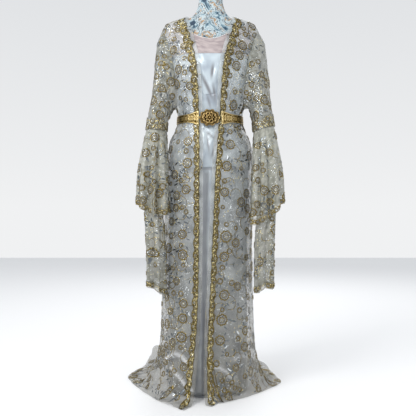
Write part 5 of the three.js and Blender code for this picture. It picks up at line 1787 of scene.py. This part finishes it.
@dataclass
class Belt:
    """Gilt belt: filigree band, flared end pieces and the antique plaque between them."""

    height: float = 34.0
    wall: float = 1.6
    clear: float = 1.5          # band to cloth
    clasp_clear: float = 3.9    # end pieces and plaque to cloth, over the lace
    wing_from: float = 40.5
    wing_to: float = 82.0
    wing_tall: float = 54.0
    plaque_x: float = -2.0
    plaque_wide: float = 36.0
    plaque_high: float = 33.0
    plaque_wall: float = 3.2

    def band(self) -> bpy.types.Object:
        """Band round the sides and the back, from one end piece to the other."""
        start = float(ROBE.angle_at(self.wing_to + SEAM, level_of(WAIST)))
        end = 360 + float(ROBE.angle_at(-self.wing_to - SEAM, level_of(WAIST)))
        angle, share = np.meshgrid(np.linspace(start, end, 440), np.linspace(-0.5, 0.5, 30))
        rise = share * self.height
        points = belt_point(angle, rise, self.clear + self.wall)
        step = np.linalg.norm(np.diff(points[15], axis=0), axis=-1)
        run = np.concatenate([[0.0], np.cumsum(step)])[None] + 0 * rise
        height = scrollwork(run, rise, 0 * rise + self.height / 2)
        return cast_plate("filigree_band", points, ROBE.normal(angle, level_of(WAIST) + 0 * angle),
                          height, 1.1, self.wall, GILT)

    def wing(self, hand: Hand) -> bpy.types.Object:
        """End piece that flares to the plaque, with a raised rib beside it."""
        side = hand.value
        low, high = sorted((side * self.wing_from, side * self.wing_to))
        x, share = np.meshgrid(np.linspace(low, high, 60), np.linspace(-0.5, 0.5, 64))
        u = (np.abs(x) - self.wing_from) / (self.wing_to - self.wing_from)
        tall = self.wing_tall + (self.height - self.wing_tall) * ease(u)
        angle = ROBE.angle_at(x, level_of(WAIST) + 0 * x)
        points = belt_point(angle, share * tall, self.clasp_clear + self.wall)
        height = scrollwork(np.abs(x) + 4, share * tall * 0.8, tall * 0.4, 21)
        fan = 0.7 * bump((u - 0.13 - 0.05 * np.cos(share * 22)) / 0.05)
        rib = bump((u - 0.045) / 0.05)
        height = np.maximum(np.maximum(height, fan), rib)
        crown = 0.9 * bump(2 * share) * (1 - 0.5 * u)
        normal = ROBE.normal(angle, level_of(WAIST) + 0 * angle)
        return cast_plate(f"end_piece_{hand.word}", points + normal * crown[..., None], normal,
                          height, 1.2, self.wall, GILT)

    def plaque(self) -> bpy.types.Object:
        """Scalloped plaque: rim, ring of beads, a wreath of leaves and a domed flower.

        A square grid is drawn into a disc by x = a sqrt(1 - b squared / 2) and the same for
        y, and the disc's edge waves by its lobes.
        """
        a, b = np.meshgrid(np.linspace(-1, 1, 104), np.linspace(-1, 1, 96))
        x, z = a * np.sqrt(1 - b * b / 2), b * np.sqrt(1 - a * a / 2)
        reach, turn = np.hypot(x, z), np.arctan2(z, x)
        lobed = 1 + 0.07 * np.cos(10 * turn) * reach ** 4
        across, rise = x * self.plaque_wide * lobed, z * self.plaque_high * lobed
        angle = ROBE.angle_at(self.plaque_x + across, level_of(WAIST) + 0 * across)
        points = belt_point(angle, rise, self.clasp_clear + self.plaque_wall)
        rim = bump((reach - 0.94) / 0.06)
        beads = bump((reach - 0.83) / 0.05) * (0.5 + 0.5 * np.cos(36 * turn))
        wreath = bump((reach - 0.62 - 0.07 * np.cos(10 * turn)) / 0.07)
        leaves = bump((reach - 0.6) / 0.18) * (0.5 + 0.5 * np.cos(20 * turn)) ** 2
        heart = rosette(across, rise, 14.5, 8)
        scallops = bump((reach - 0.72) / 0.03) * 0.8
        height = np.max([rim, beads, wreath, 0.7 * leaves, heart, scallops], axis=0)
        dome = 3.2 * bump(reach / 0.8)
        normal = ROBE.normal(angle, level_of(WAIST) + 0 * angle)
        return cast_plate("plaque", points + normal * dome[..., None], normal, height, 1.7,
                          self.plaque_wall, ANTIQUE)

    def build(self) -> None:
        """Makes the four pieces and declares what each stands for."""
        declare(self.band(), "gilt_metal", "belt_band")
        for hand in Hand:
            declare(self.wing(hand), "gilt_metal", f"belt_wing_{hand.word}")
        declare(self.plaque(), "antique_metal", "belt_buckle")


# ------------------------------------------------------------------ the garment's parts
class Stand:
    """Dress form and its stand."""

    def build(self) -> None:
        """Covers the torso and paints the pole and foot, whose own shapes are kept."""
        declare(DressForm().build(STOCK.of(JERSEY)), "form_cover", "form_torso")
        for node in ("form_pole", "form_base"):
            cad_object(node).data.materials.clear()
            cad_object(node).data.materials.append(STOCK.of(STAND_PAINT))


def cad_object(node: str) -> bpy.types.Object:
    """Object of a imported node."""
    return bpy.data.objects[node]


@dataclass
class Slip:
    """Satin under-layer: yoke, tunic and skirt."""

    wall: float = 1.0
    creases: Rows = (           # angle, height, lean (radians), half width, half length, rise
        (-5, 1162, 0.44, 11, 80, -1.5), (-2, 1183, 0.44, 9, 75, 3.2), (-9, 1140, 0.5, 10, 60, 2.6),
        (4, 1222, -0.1, 9, 42, -1.5), (8, 1215, -0.1, 8, 45, 2.4), (9, 1140, 0.2, 9, 55, -1.3),
        (12, 1120, 0.2, 8, 50, 2.2), (-3, 1112, 0.3, 8, 40, -1.2), (-11, 1245, 0.2, 8, 40, 1.8),
        (-8, 955, 0.15, 9, 70, 2.2), (-4, 950, 0.15, 7, 60, -1.4), (8, 930, -0.3, 9, 60, -1.4),
        (11, 930, -0.3, 8, 60, 2.0), (13, 985, -0.5, 7, 35, -1.2), (0, 985, 0.9, 7, 36, -1.3),
    )

    def crossing(self, angle: Array, z: Array) -> tuple[Array, Array]:
        """Height of the slanting creases and the painted shade marked in their dips: each a bump
        across times a bump along.
        """
        rise, mark = 0 * z, 0 * z
        for place, height, lean, half, long_, high in self.creases:
            run = (z - height) * math.cos(lean) - 1.9 * (angle - place) * math.sin(lean)
            off = (z - height) * math.sin(lean) + 1.9 * (angle - place) * math.cos(lean)
            shape = bump(off / half) * bump(run / long_)
            rise = rise + high * shape
            mark = mark + max(-high, 0) * 0.8 * shape
        return rise, np.clip(mark, 0, 1)

    def tunic_relief(self, angle: Array, z: Array) -> Array:
        """Soft folds of the satin, hung from the bust and drawn in at the belt, and its hem."""
        low = ease((WAIST - z) / 190)
        pull = np.exp(-((z - WAIST) / 60.0) ** 2)
        folds = 1.5 * np.sin(np.radians(angle * 9.0 + 20) + 0.006 * z) * low
        folds += 0.8 * np.sin(np.radians(angle * 17.0) - 0.01 * z) * low
        folds += 0.6 * np.sin(np.radians(angle * 26.0)) * pull
        hem = 2.0 * bump((z - TUNIC_HEM - 3) / 5)
        return folds + hem - 0.6 + self.crossing(angle, z)[0]

    def build(self) -> None:
        """Makes the six panels, with the tunic's hem rolled into a ledge, and the neck binding."""
        satin, blush = STOCK.of(SATIN), STOCK.of(YOKE)
        for back in (False, True):
            word = "back" if back else "front"
            tunic = SlipPanel(TUNIC_ROWS, back, relief=self.tunic_relief).patch(
                *((76, 70) if back else (120, 100)))
            cover = cloth_shell(f"tunic_{word}", tunic, satin, self.wall)
            angle = np.degrees(np.arctan2(tunic.points[..., 0], -tunic.points[..., 1]))
            mark = self.crossing(angle, tunic.points[..., 2])[1]
            # Painted shade in the dips of the slanting creases.
            mark_points(cover, "crease", np.stack([mark, mark]))
            declare(cover, "satin", f"slip_tunic_{word}")
            yoke = SlipPanel(YOKE_ROWS, back, neckline=not back, relief=self.yoke_relief)
            lining = yoke.patch(*((30, 60) if back else (60, 90)))
            declare(cloth_shell(f"yoke_{word}", lining, blush, self.wall),
                    "sheer_yoke", f"slip_yoke_{word}")
            if not back:
                u, v = np.meshgrid(np.linspace(0, 1, 91), np.linspace(0.96, 1, 4))
                edge = Patch(lining.at(u, v, 0.9))
                declare(cloth_shell("neckline_binding", edge, STOCK.of(BINDING), 0.8),
                        "sheer_yoke")
            skirt = SlipSkirt(back)
            cover = cloth_shell(f"skirt_{word}", skirt.patch(), satin, self.wall)
            # Painted shade in the pleat and under the tunic's ledge.
            mark_points(cover, "crease", np.stack([skirt.mark, skirt.mark]))
            declare(cover, "satin", f"slip_skirt_{word}")

    def yoke_relief(self, angle: Array, z: Array) -> Array:
        """Level wrinkles of the sheer yoke, uneven in length and height."""
        sway = z + 5 * np.sin(np.radians(angle * 3.1 + 30)) + 2.5 * np.sin(np.radians(angle * 8))
        deep = bump(angle / 62.0) * ease((1425 - z) / 30)
        lines = np.sin(sway / 3.4) + 0.7 * np.sin(sway / 6.1 + np.radians(angle * 4))
        return 0.55 * deep * lines


# Flowers that the front view shows: place in its frame, and radius in millimetres.
LEFT_FLOWERS: Rows = (
    (187, 163, 19), (188, 141, 17), (178, 141, 9), (185, 176, 8), (177, 195, 17), (176, 207, 15),
    (182, 207, 8), (182, 234, 18), (183, 255, 20), (166, 255, 15), (183, 266, 8), (173, 268, 7),
    (176, 282, 16), (174, 293, 10), (181, 294, 10), (170, 312, 13), (183, 318, 18), (182, 337, 20),
    (181, 348, 8), (166, 346, 12), (165, 362, 13), (164, 373, 10), (171, 373, 12), (168, 393, 14),
    (146, 385, 14), (159, 387, 10), (178, 398, 12), (163, 32, 12), (178, 30, 13), (173, 50, 16),
    (179, 70, 18), (186, 46, 13), (171, 236, 12), (175, 128, 9), (163, 170, 9), (186, 100, 9),
)
RIGHT_FLOWERS: Rows = (
    (230, 144, 18), (230, 131, 10), (240, 136, 9), (227, 166, 19), (225, 193, 17), (241, 202, 18),
    (226, 224, 9), (226, 236, 22), (236, 228, 8), (224, 256, 18), (246, 257, 13), (220, 281, 11),
    (237, 287, 16), (247, 275, 9), (248, 296, 11), (222, 310, 8), (222, 320, 21), (220, 340, 18),
    (249, 354, 14), (227, 355, 8), (216, 363, 12), (236, 368, 14), (251, 372, 18), (232, 383, 9),
    (240, 390, 9), (225, 391, 10), (213, 390, 13), (218, 401, 11), (229, 399, 16), (245, 35, 10),
    (257, 37, 12), (243, 45, 19), (256, 49, 12), (237, 65, 18), (226, 75, 10), (243, 108, 15),
    (235, 92, 9),
)
SLEEVE_FLOWERS: dict[Hand, Rows] = {
    Hand.LEFT: ((153, 100, 19), (162, 104, 12), (168, 105, 13), (162, 88, 14), (157, 58, 10),
                (161, 42, 9), (166, 66, 12), (156, 76, 12), (172, 97, 12)),
    Hand.RIGHT: ((265, 100, 19), (262, 75, 13), (256, 98, 12), (258, 62, 10), (266, 86, 9),
                 (252, 84, 12), (270, 108, 10), (250, 98, 12)),
}
FLOUNCE_FLOWERS: dict[Hand, Rows] = {
    Hand.LEFT: ((145, 153, 17), (157, 155, 12), (150, 190, 17), (158, 194, 17), (143, 201, 15),
                (148, 175, 11), (141, 188, 12), (163, 186, 12), (156, 203, 14)),
    Hand.RIGHT: ((259, 146, 13), (269, 152, 14), (255, 168, 13), (264, 190, 18), (276, 190, 17),
                 (270, 202, 13), (258, 180, 12), (277, 175, 9), (263, 171, 10), (257, 204, 14)),
}
HEMMED = 0.06                   # share of a flounce that its dense edge takes


@dataclass
class Robe:
    """Embroidered net robe with its sleeves, flounces and lace."""

    lace_pitch: float = 44.0
    fronts: dict[Hand, FrontPanel] = field(init=False)

    def __post_init__(self) -> None:
        """Lays out the front panels."""
        self.fronts = {hand: FrontPanel(hand) for hand in Hand}

    def build(self) -> None:
        """Makes every panel with its needlework, then the lace and the elbow bands."""
        net, dense = STOCK.of(NET), STOCK.of(SLEEVE_NET)
        for hand in Hand:
            panel = self.fronts[hand].patch()
            front = cloth_sheet(f"net_front_{hand.word}", panel, net)
            # Painted highlight on the tops of the sharp folds.
            mark_points(front, "crease", self.fronts[hand].crest_highlight)
            declare(front, "net", f"robe_front_{hand.word}")
            seen = LEFT_FLOWERS if hand is Hand.LEFT else RIGHT_FLOWERS
            self.adorn(f"front_{hand.word}", panel, 11 + hand.value, seen,
                       (2.35 / FRONT_COLUMNS, 0.97, 0.015, 0.985), 0.6, 1.2)
            sleeve = SleeveForm(hand).patch()
            declare(cloth_sheet(f"net_sleeve_{hand.word}", sleeve, dense), "net",
                    f"sleeve_{hand.word}")
            self.adorn(f"sleeve_{hand.word}", sleeve, 21 + hand.value, SLEEVE_FLOWERS[hand],
                       (0.0, 1.0, 0.03, CUFF_SPAN - 0.02), 0.55, 1.8)
            self.flounces(hand, STOCK.of(FLOUNCE_NET))
            self.front_lace(hand)
            self.elbow_band(hand)
        back = BackPanel().patch()
        declare(cloth_sheet("net_back", back, net), "net", "robe_back")
        self.adorn("back", back, 31, (), (0.02, 0.98, 0.015, 0.97), 0.75, 0.8)
        self.neck_lace()

    def adorn(self, name: str, patch: Patch, seed: int, seen: Rows,
              margin: tuple[float, float, float, float], density: float = 1.0,
              sparkle: float = 1.0) -> None:
        """Embroiders one piece of cloth."""
        work = Embroidery(f"needlework_{name}", patch, seed, margin, seen, density, sparkle)
        declare(work.build(), "gold_lace")

    def flounces(self, hand: Hand, cloth: bpy.types.Material) -> None:
        """Makes both tiers of a sleeve's flounce, each with a dense edge."""
        phase = 0.4 if hand is Hand.LEFT else 1.6
        for tier, waves, shift, rows in (("upper", 7, 0.0, UPPER_TIER),
                                         ("lower", 5, 1.0, LOWER_TIER)):
            patch = FlounceForm(hand, tier, waves, phase + shift, rows).patch()
            name = f"{tier}_{hand.word}"
            declare(cloth_sheet(f"net_flounce_{name}", patch, cloth), "net", f"flounce_{name}")
            seen = FLOUNCE_FLOWERS[hand] if tier == "upper" else ()
            top = 0.95 if tier == "upper" else 0.55
            self.adorn(f"flounce_{name}", patch, 41 + 3 * waves + hand.value, seen,
                       (0.0, 1.0, HEMMED, top), 0.55, 1.6)
            tall = np.linalg.norm(np.diff(patch.points[:, 0], axis=0), axis=-1).sum()
            edge = self.strip(patch, 0.004, 26.0 / tall)
            lace = LaceStrip(f"flounce_edge_{name}", edge, 30.0, 0.3, 5, cord_size=0.55)
            declare(lace.stitches(), "gold_lace")

    def strip(self, patch: Patch, low: float, high: float) -> Patch:
        """Ring of a closed patch as a strip whose columns run up and rows run round it."""
        turn = np.linspace(0, 1, 150)
        u, v = np.meshgrid(np.linspace(high, low, 7), turn)
        return Patch(patch.at(v, u, 0.4), side=patch.side)

    def front_lace(self, hand: Hand) -> None:
        """Lace along a front edge, from the shoulder to the hem, over the gold line."""
        panel, rows = self.fronts[hand], 420
        u, v = np.meshgrid(np.linspace(1, 2, 8) / FRONT_COLUMNS,
                           np.linspace(0.002, 1 - 1.02 / ROBE_ROWS, rows))
        angle, level = panel.place(u, v)
        net = Patch(ROBE.face(angle, level, fine=True), side=hand.value)
        strip = Patch(net.points + net.normals * (2 * SEAM + TRIM - 0.8), side=hand.value)
        lace = LaceStrip(f"lace_{hand.word}", strip, self.lace_pitch, seed=3 + hand.value)
        declare(lace.ground(), "gold_lace", f"border_{hand.word}")
        declare(lace.stitches(), "gold_lace")

    def neck_lace(self) -> None:
        """Lace round the back of the neck, scallops downwards."""
        run = np.linspace(0, 1, 110)
        angle = 96 + run * 168
        heading = unit(np.stack([np.sin(np.radians(angle)), -np.cos(np.radians(angle)),
                                 0 * angle - 0.4], -1))
        start = level_of(NECK_POINT - 4) + 0 * angle
        columns = []
        for share in np.linspace(0, 1, 7):
            place = ROBE.step_over(angle, start, heading, 34.0 * share + 1e-3 + 0 * angle)
            point = ROBE.face(*place)
            columns.append(point + ROBE.normal(*place) * (7 * SEAM + 0.8))
        strip = Patch(np.stack(columns, 1), side=-1)
        lace = LaceStrip("lace_neck", strip, self.lace_pitch, seed=9)
        declare(lace.ground(), "gold_lace", "border_neck")
        declare(lace.stitches(), "gold_lace")

    def elbow_band(self, hand: Hand) -> None:
        """Dense gold band at the elbow: doubled net under crowded flowers."""
        band = SleeveForm(hand).patch(CUFF_SPAN, 1.0, SEAM + 0.9, 12, 120)
        ground = cloth_shell(f"elbow_band_{hand.word}", band, STOCK.of(SLEEVE_NET), 0.8)
        declare(ground, "gold_lace", f"cuff_band_{hand.word}")
        work = Needlework(band, base=0.4)
        rng = np.random.default_rng(60 + hand.value)
        places = Scatter(band, 61, (0, 1, 0.04, 0.96))
        for u, v in places.spread(260, 11.0):
            work.flower(u, v, rng.uniform(9, 14.5), rng.uniform(0, 6))
        for u, v in places.spread(160, 4.0):
            work.leaf(u, v, np.zeros(2), rng.uniform(0, 3), 11, Yarn.PALE)
        for _ in range(200):
            work.beads(rng.uniform(0, 1), rng.uniform(0.03, 0.97), rng.uniform(-5, 5, (2, 2)),
                       rng.uniform(2.2, 3.6), 1.8,
                       Yarn.SILVER if rng.uniform() < 0.5 else Yarn.PALE)
        declare(work.build(f"elbow_flowers_{hand.word}"), "gold_lace")


# ------------------------------------------------------------------ how the cloth was cut
@dataclass(frozen=True)
class Cut:
    """Flat size of a sheet of cloth before it was sewn and hung, in metres."""

    piece: str
    wide: float
    long: float
    area: float
    held: str
    rests_on: tuple[str, ...]
    trims: tuple[str, ...] = ()

    def state(self) -> None:
        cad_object(self.piece)
        list(self.rests_on)
        [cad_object(name) for name in self.trims]


SLIP_CUTS: tuple[Cut, ...] = (
    Cut("yoke_front", 0.43, 0.22, 0.039, "stretched", ("torso_cover",), ("neckline_binding",)),
    Cut("yoke_back", 0.40, 0.23, 0.058, "stretched", ("torso_cover",)),
    Cut("tunic_front", 0.43, 0.46, 0.150, "draped", ("torso_cover",)),
    Cut("tunic_back", 0.44, 0.46, 0.150, "draped", ("torso_cover",)),
    Cut("skirt_front", 0.48, 1.00, 0.440, "hung", ("torso_cover", "tunic_front")),
    Cut("skirt_back", 0.47, 1.00, 0.440, "hung", ("torso_cover", "tunic_back")),
)


def robe_cuts(hand: Hand) -> tuple[Cut, ...]:
    """Cuts of the robe's pieces on one hand: front, sleeve, elbow band, two tiers and lace."""
    word = hand.word
    front = f"net_front_{word}"
    return (
        Cut(front, 0.345, 1.59, 0.31, "hung", ("yoke_front", "tunic_front"),
            (f"needlework_front_{word}",)),
        Cut(f"net_sleeve_{word}", 0.45, 0.40, 0.097, "hung", (front, "net_back"),
            (f"needlework_sleeve_{word}",)),
        Cut(f"elbow_band_{word}", 0.306, 0.048, 0.013, "laid", (f"net_sleeve_{word}",),
            (f"elbow_flowers_{word}",)),
        Cut(f"net_flounce_upper_{word}", 0.47, 0.36, 0.123, "gathered", (f"net_sleeve_{word}",),
            (f"needlework_flounce_upper_{word}", f"flounce_edge_upper_{word}_stitches")),
        Cut(f"net_flounce_lower_{word}", 0.30, 0.63, 0.147, "gathered", (f"net_sleeve_{word}",),
            (f"needlework_flounce_lower_{word}", f"flounce_edge_lower_{word}_stitches")),
        Cut(f"lace_{word}_ground", 0.034, 1.60, 0.037, "laid", (front,),
            (f"lace_{word}_stitches",)),
    )


# The back is a fan whose hem measures 1.80 m. Its width is given as 1.55, because the call takes
# no area under 0.3 of width times length, so that width isn't a measured one.
BACK_CUTS: tuple[Cut, ...] = (
    Cut("net_back", 1.55, 2.00, 0.96, "draped", ("yoke_back", "tunic_back"), ("needlework_back",)),
    Cut("lace_neck_ground", 0.036, 0.30, 0.0086, "laid", ("net_back",), ("lace_neck_stitches",)),
)


# ------------------------------------------------------------------ the stage and the light
@dataclass
class Studio:
    """Pale floor and soft lights."""

    floor: float = 12.0         # side of the floor, metres

    def build(self) -> None:
        """Makes the floor, the world and three soft lights."""
        half = self.floor / 2 / MM
        corners = np.array([[-half, -half, 0], [half, -half, 0], [half, half, 0], [-half, half, 0]])
        floor = make_mesh("floor", corners - np.array([0, 0, 0.6]), [[0, 1, 2, 3]],
                          [STOCK.of(FLOOR_PAINT)])
        world = bpy.data.worlds.new("studio")
        world.use_nodes = True
        sky = world.node_tree.nodes["Background"]
        place = add_node(world.node_tree, "ShaderNodeTexCoord")
        split = add_node(world.node_tree, "ShaderNodeSeparateXYZ",
                         inputs={"Vector": place.outputs["Generated"]})
        ramp = add_node(world.node_tree, "ShaderNodeValToRGB",
                        inputs={"Fac": split.outputs["Z"]})
        for mark, (level, colour) in zip(ramp.color_ramp.elements,
                                         ((0.0, "#f8f9fa"), (0.6, "#dadde1"))):
            mark.position, mark.color = level, linear(colour)
        world.node_tree.links.new(ramp.outputs["Color"], sky.inputs["Color"])
        sky.inputs["Strength"].default_value = 0.93
        bpy.context.scene.world = world
        bpy.context.scene.view_settings.view_transform = "Standard"
        for name, place, size, power in (
                ("key", (-1.7, -2.1, 2.7), 1.3, 60), ("fill", (2.8, -2.6, 1.9), 1.6, 14),
                ("rim", (0.6, 2.8, 2.9), 2.0, 36)):
            data = bpy.data.lights.new(name, "AREA")
            data.size, data.energy = size, power
            light = bpy.data.objects.new(name, data)
            light.location = place
            aim = np.array([0.0, 0.0, 0.8]) - np.array(place)
            light.rotation_euler = (
                math.atan2(math.hypot(aim[0], aim[1]), -aim[2]), 0,
                math.atan2(aim[1], aim[0]) - math.pi / 2)
            bpy.context.scene.collection.objects.link(light)


def main() -> None:
    """Builds the garment from the form outwards, then the stage."""
    logging.basicConfig(level=logging.INFO)
    bpy.context.preferences.edit.use_global_undo = False
    VIEW.build()
    Stand().build()
    Slip().build()
    Robe().build()
    Belt().build()
    for cut in SLIP_CUTS + robe_cuts(Hand.LEFT) + robe_cuts(Hand.RIGHT) + BACK_CUTS:
        cut.state()
    Studio().build()


if __name__ == "__main__":
    main()
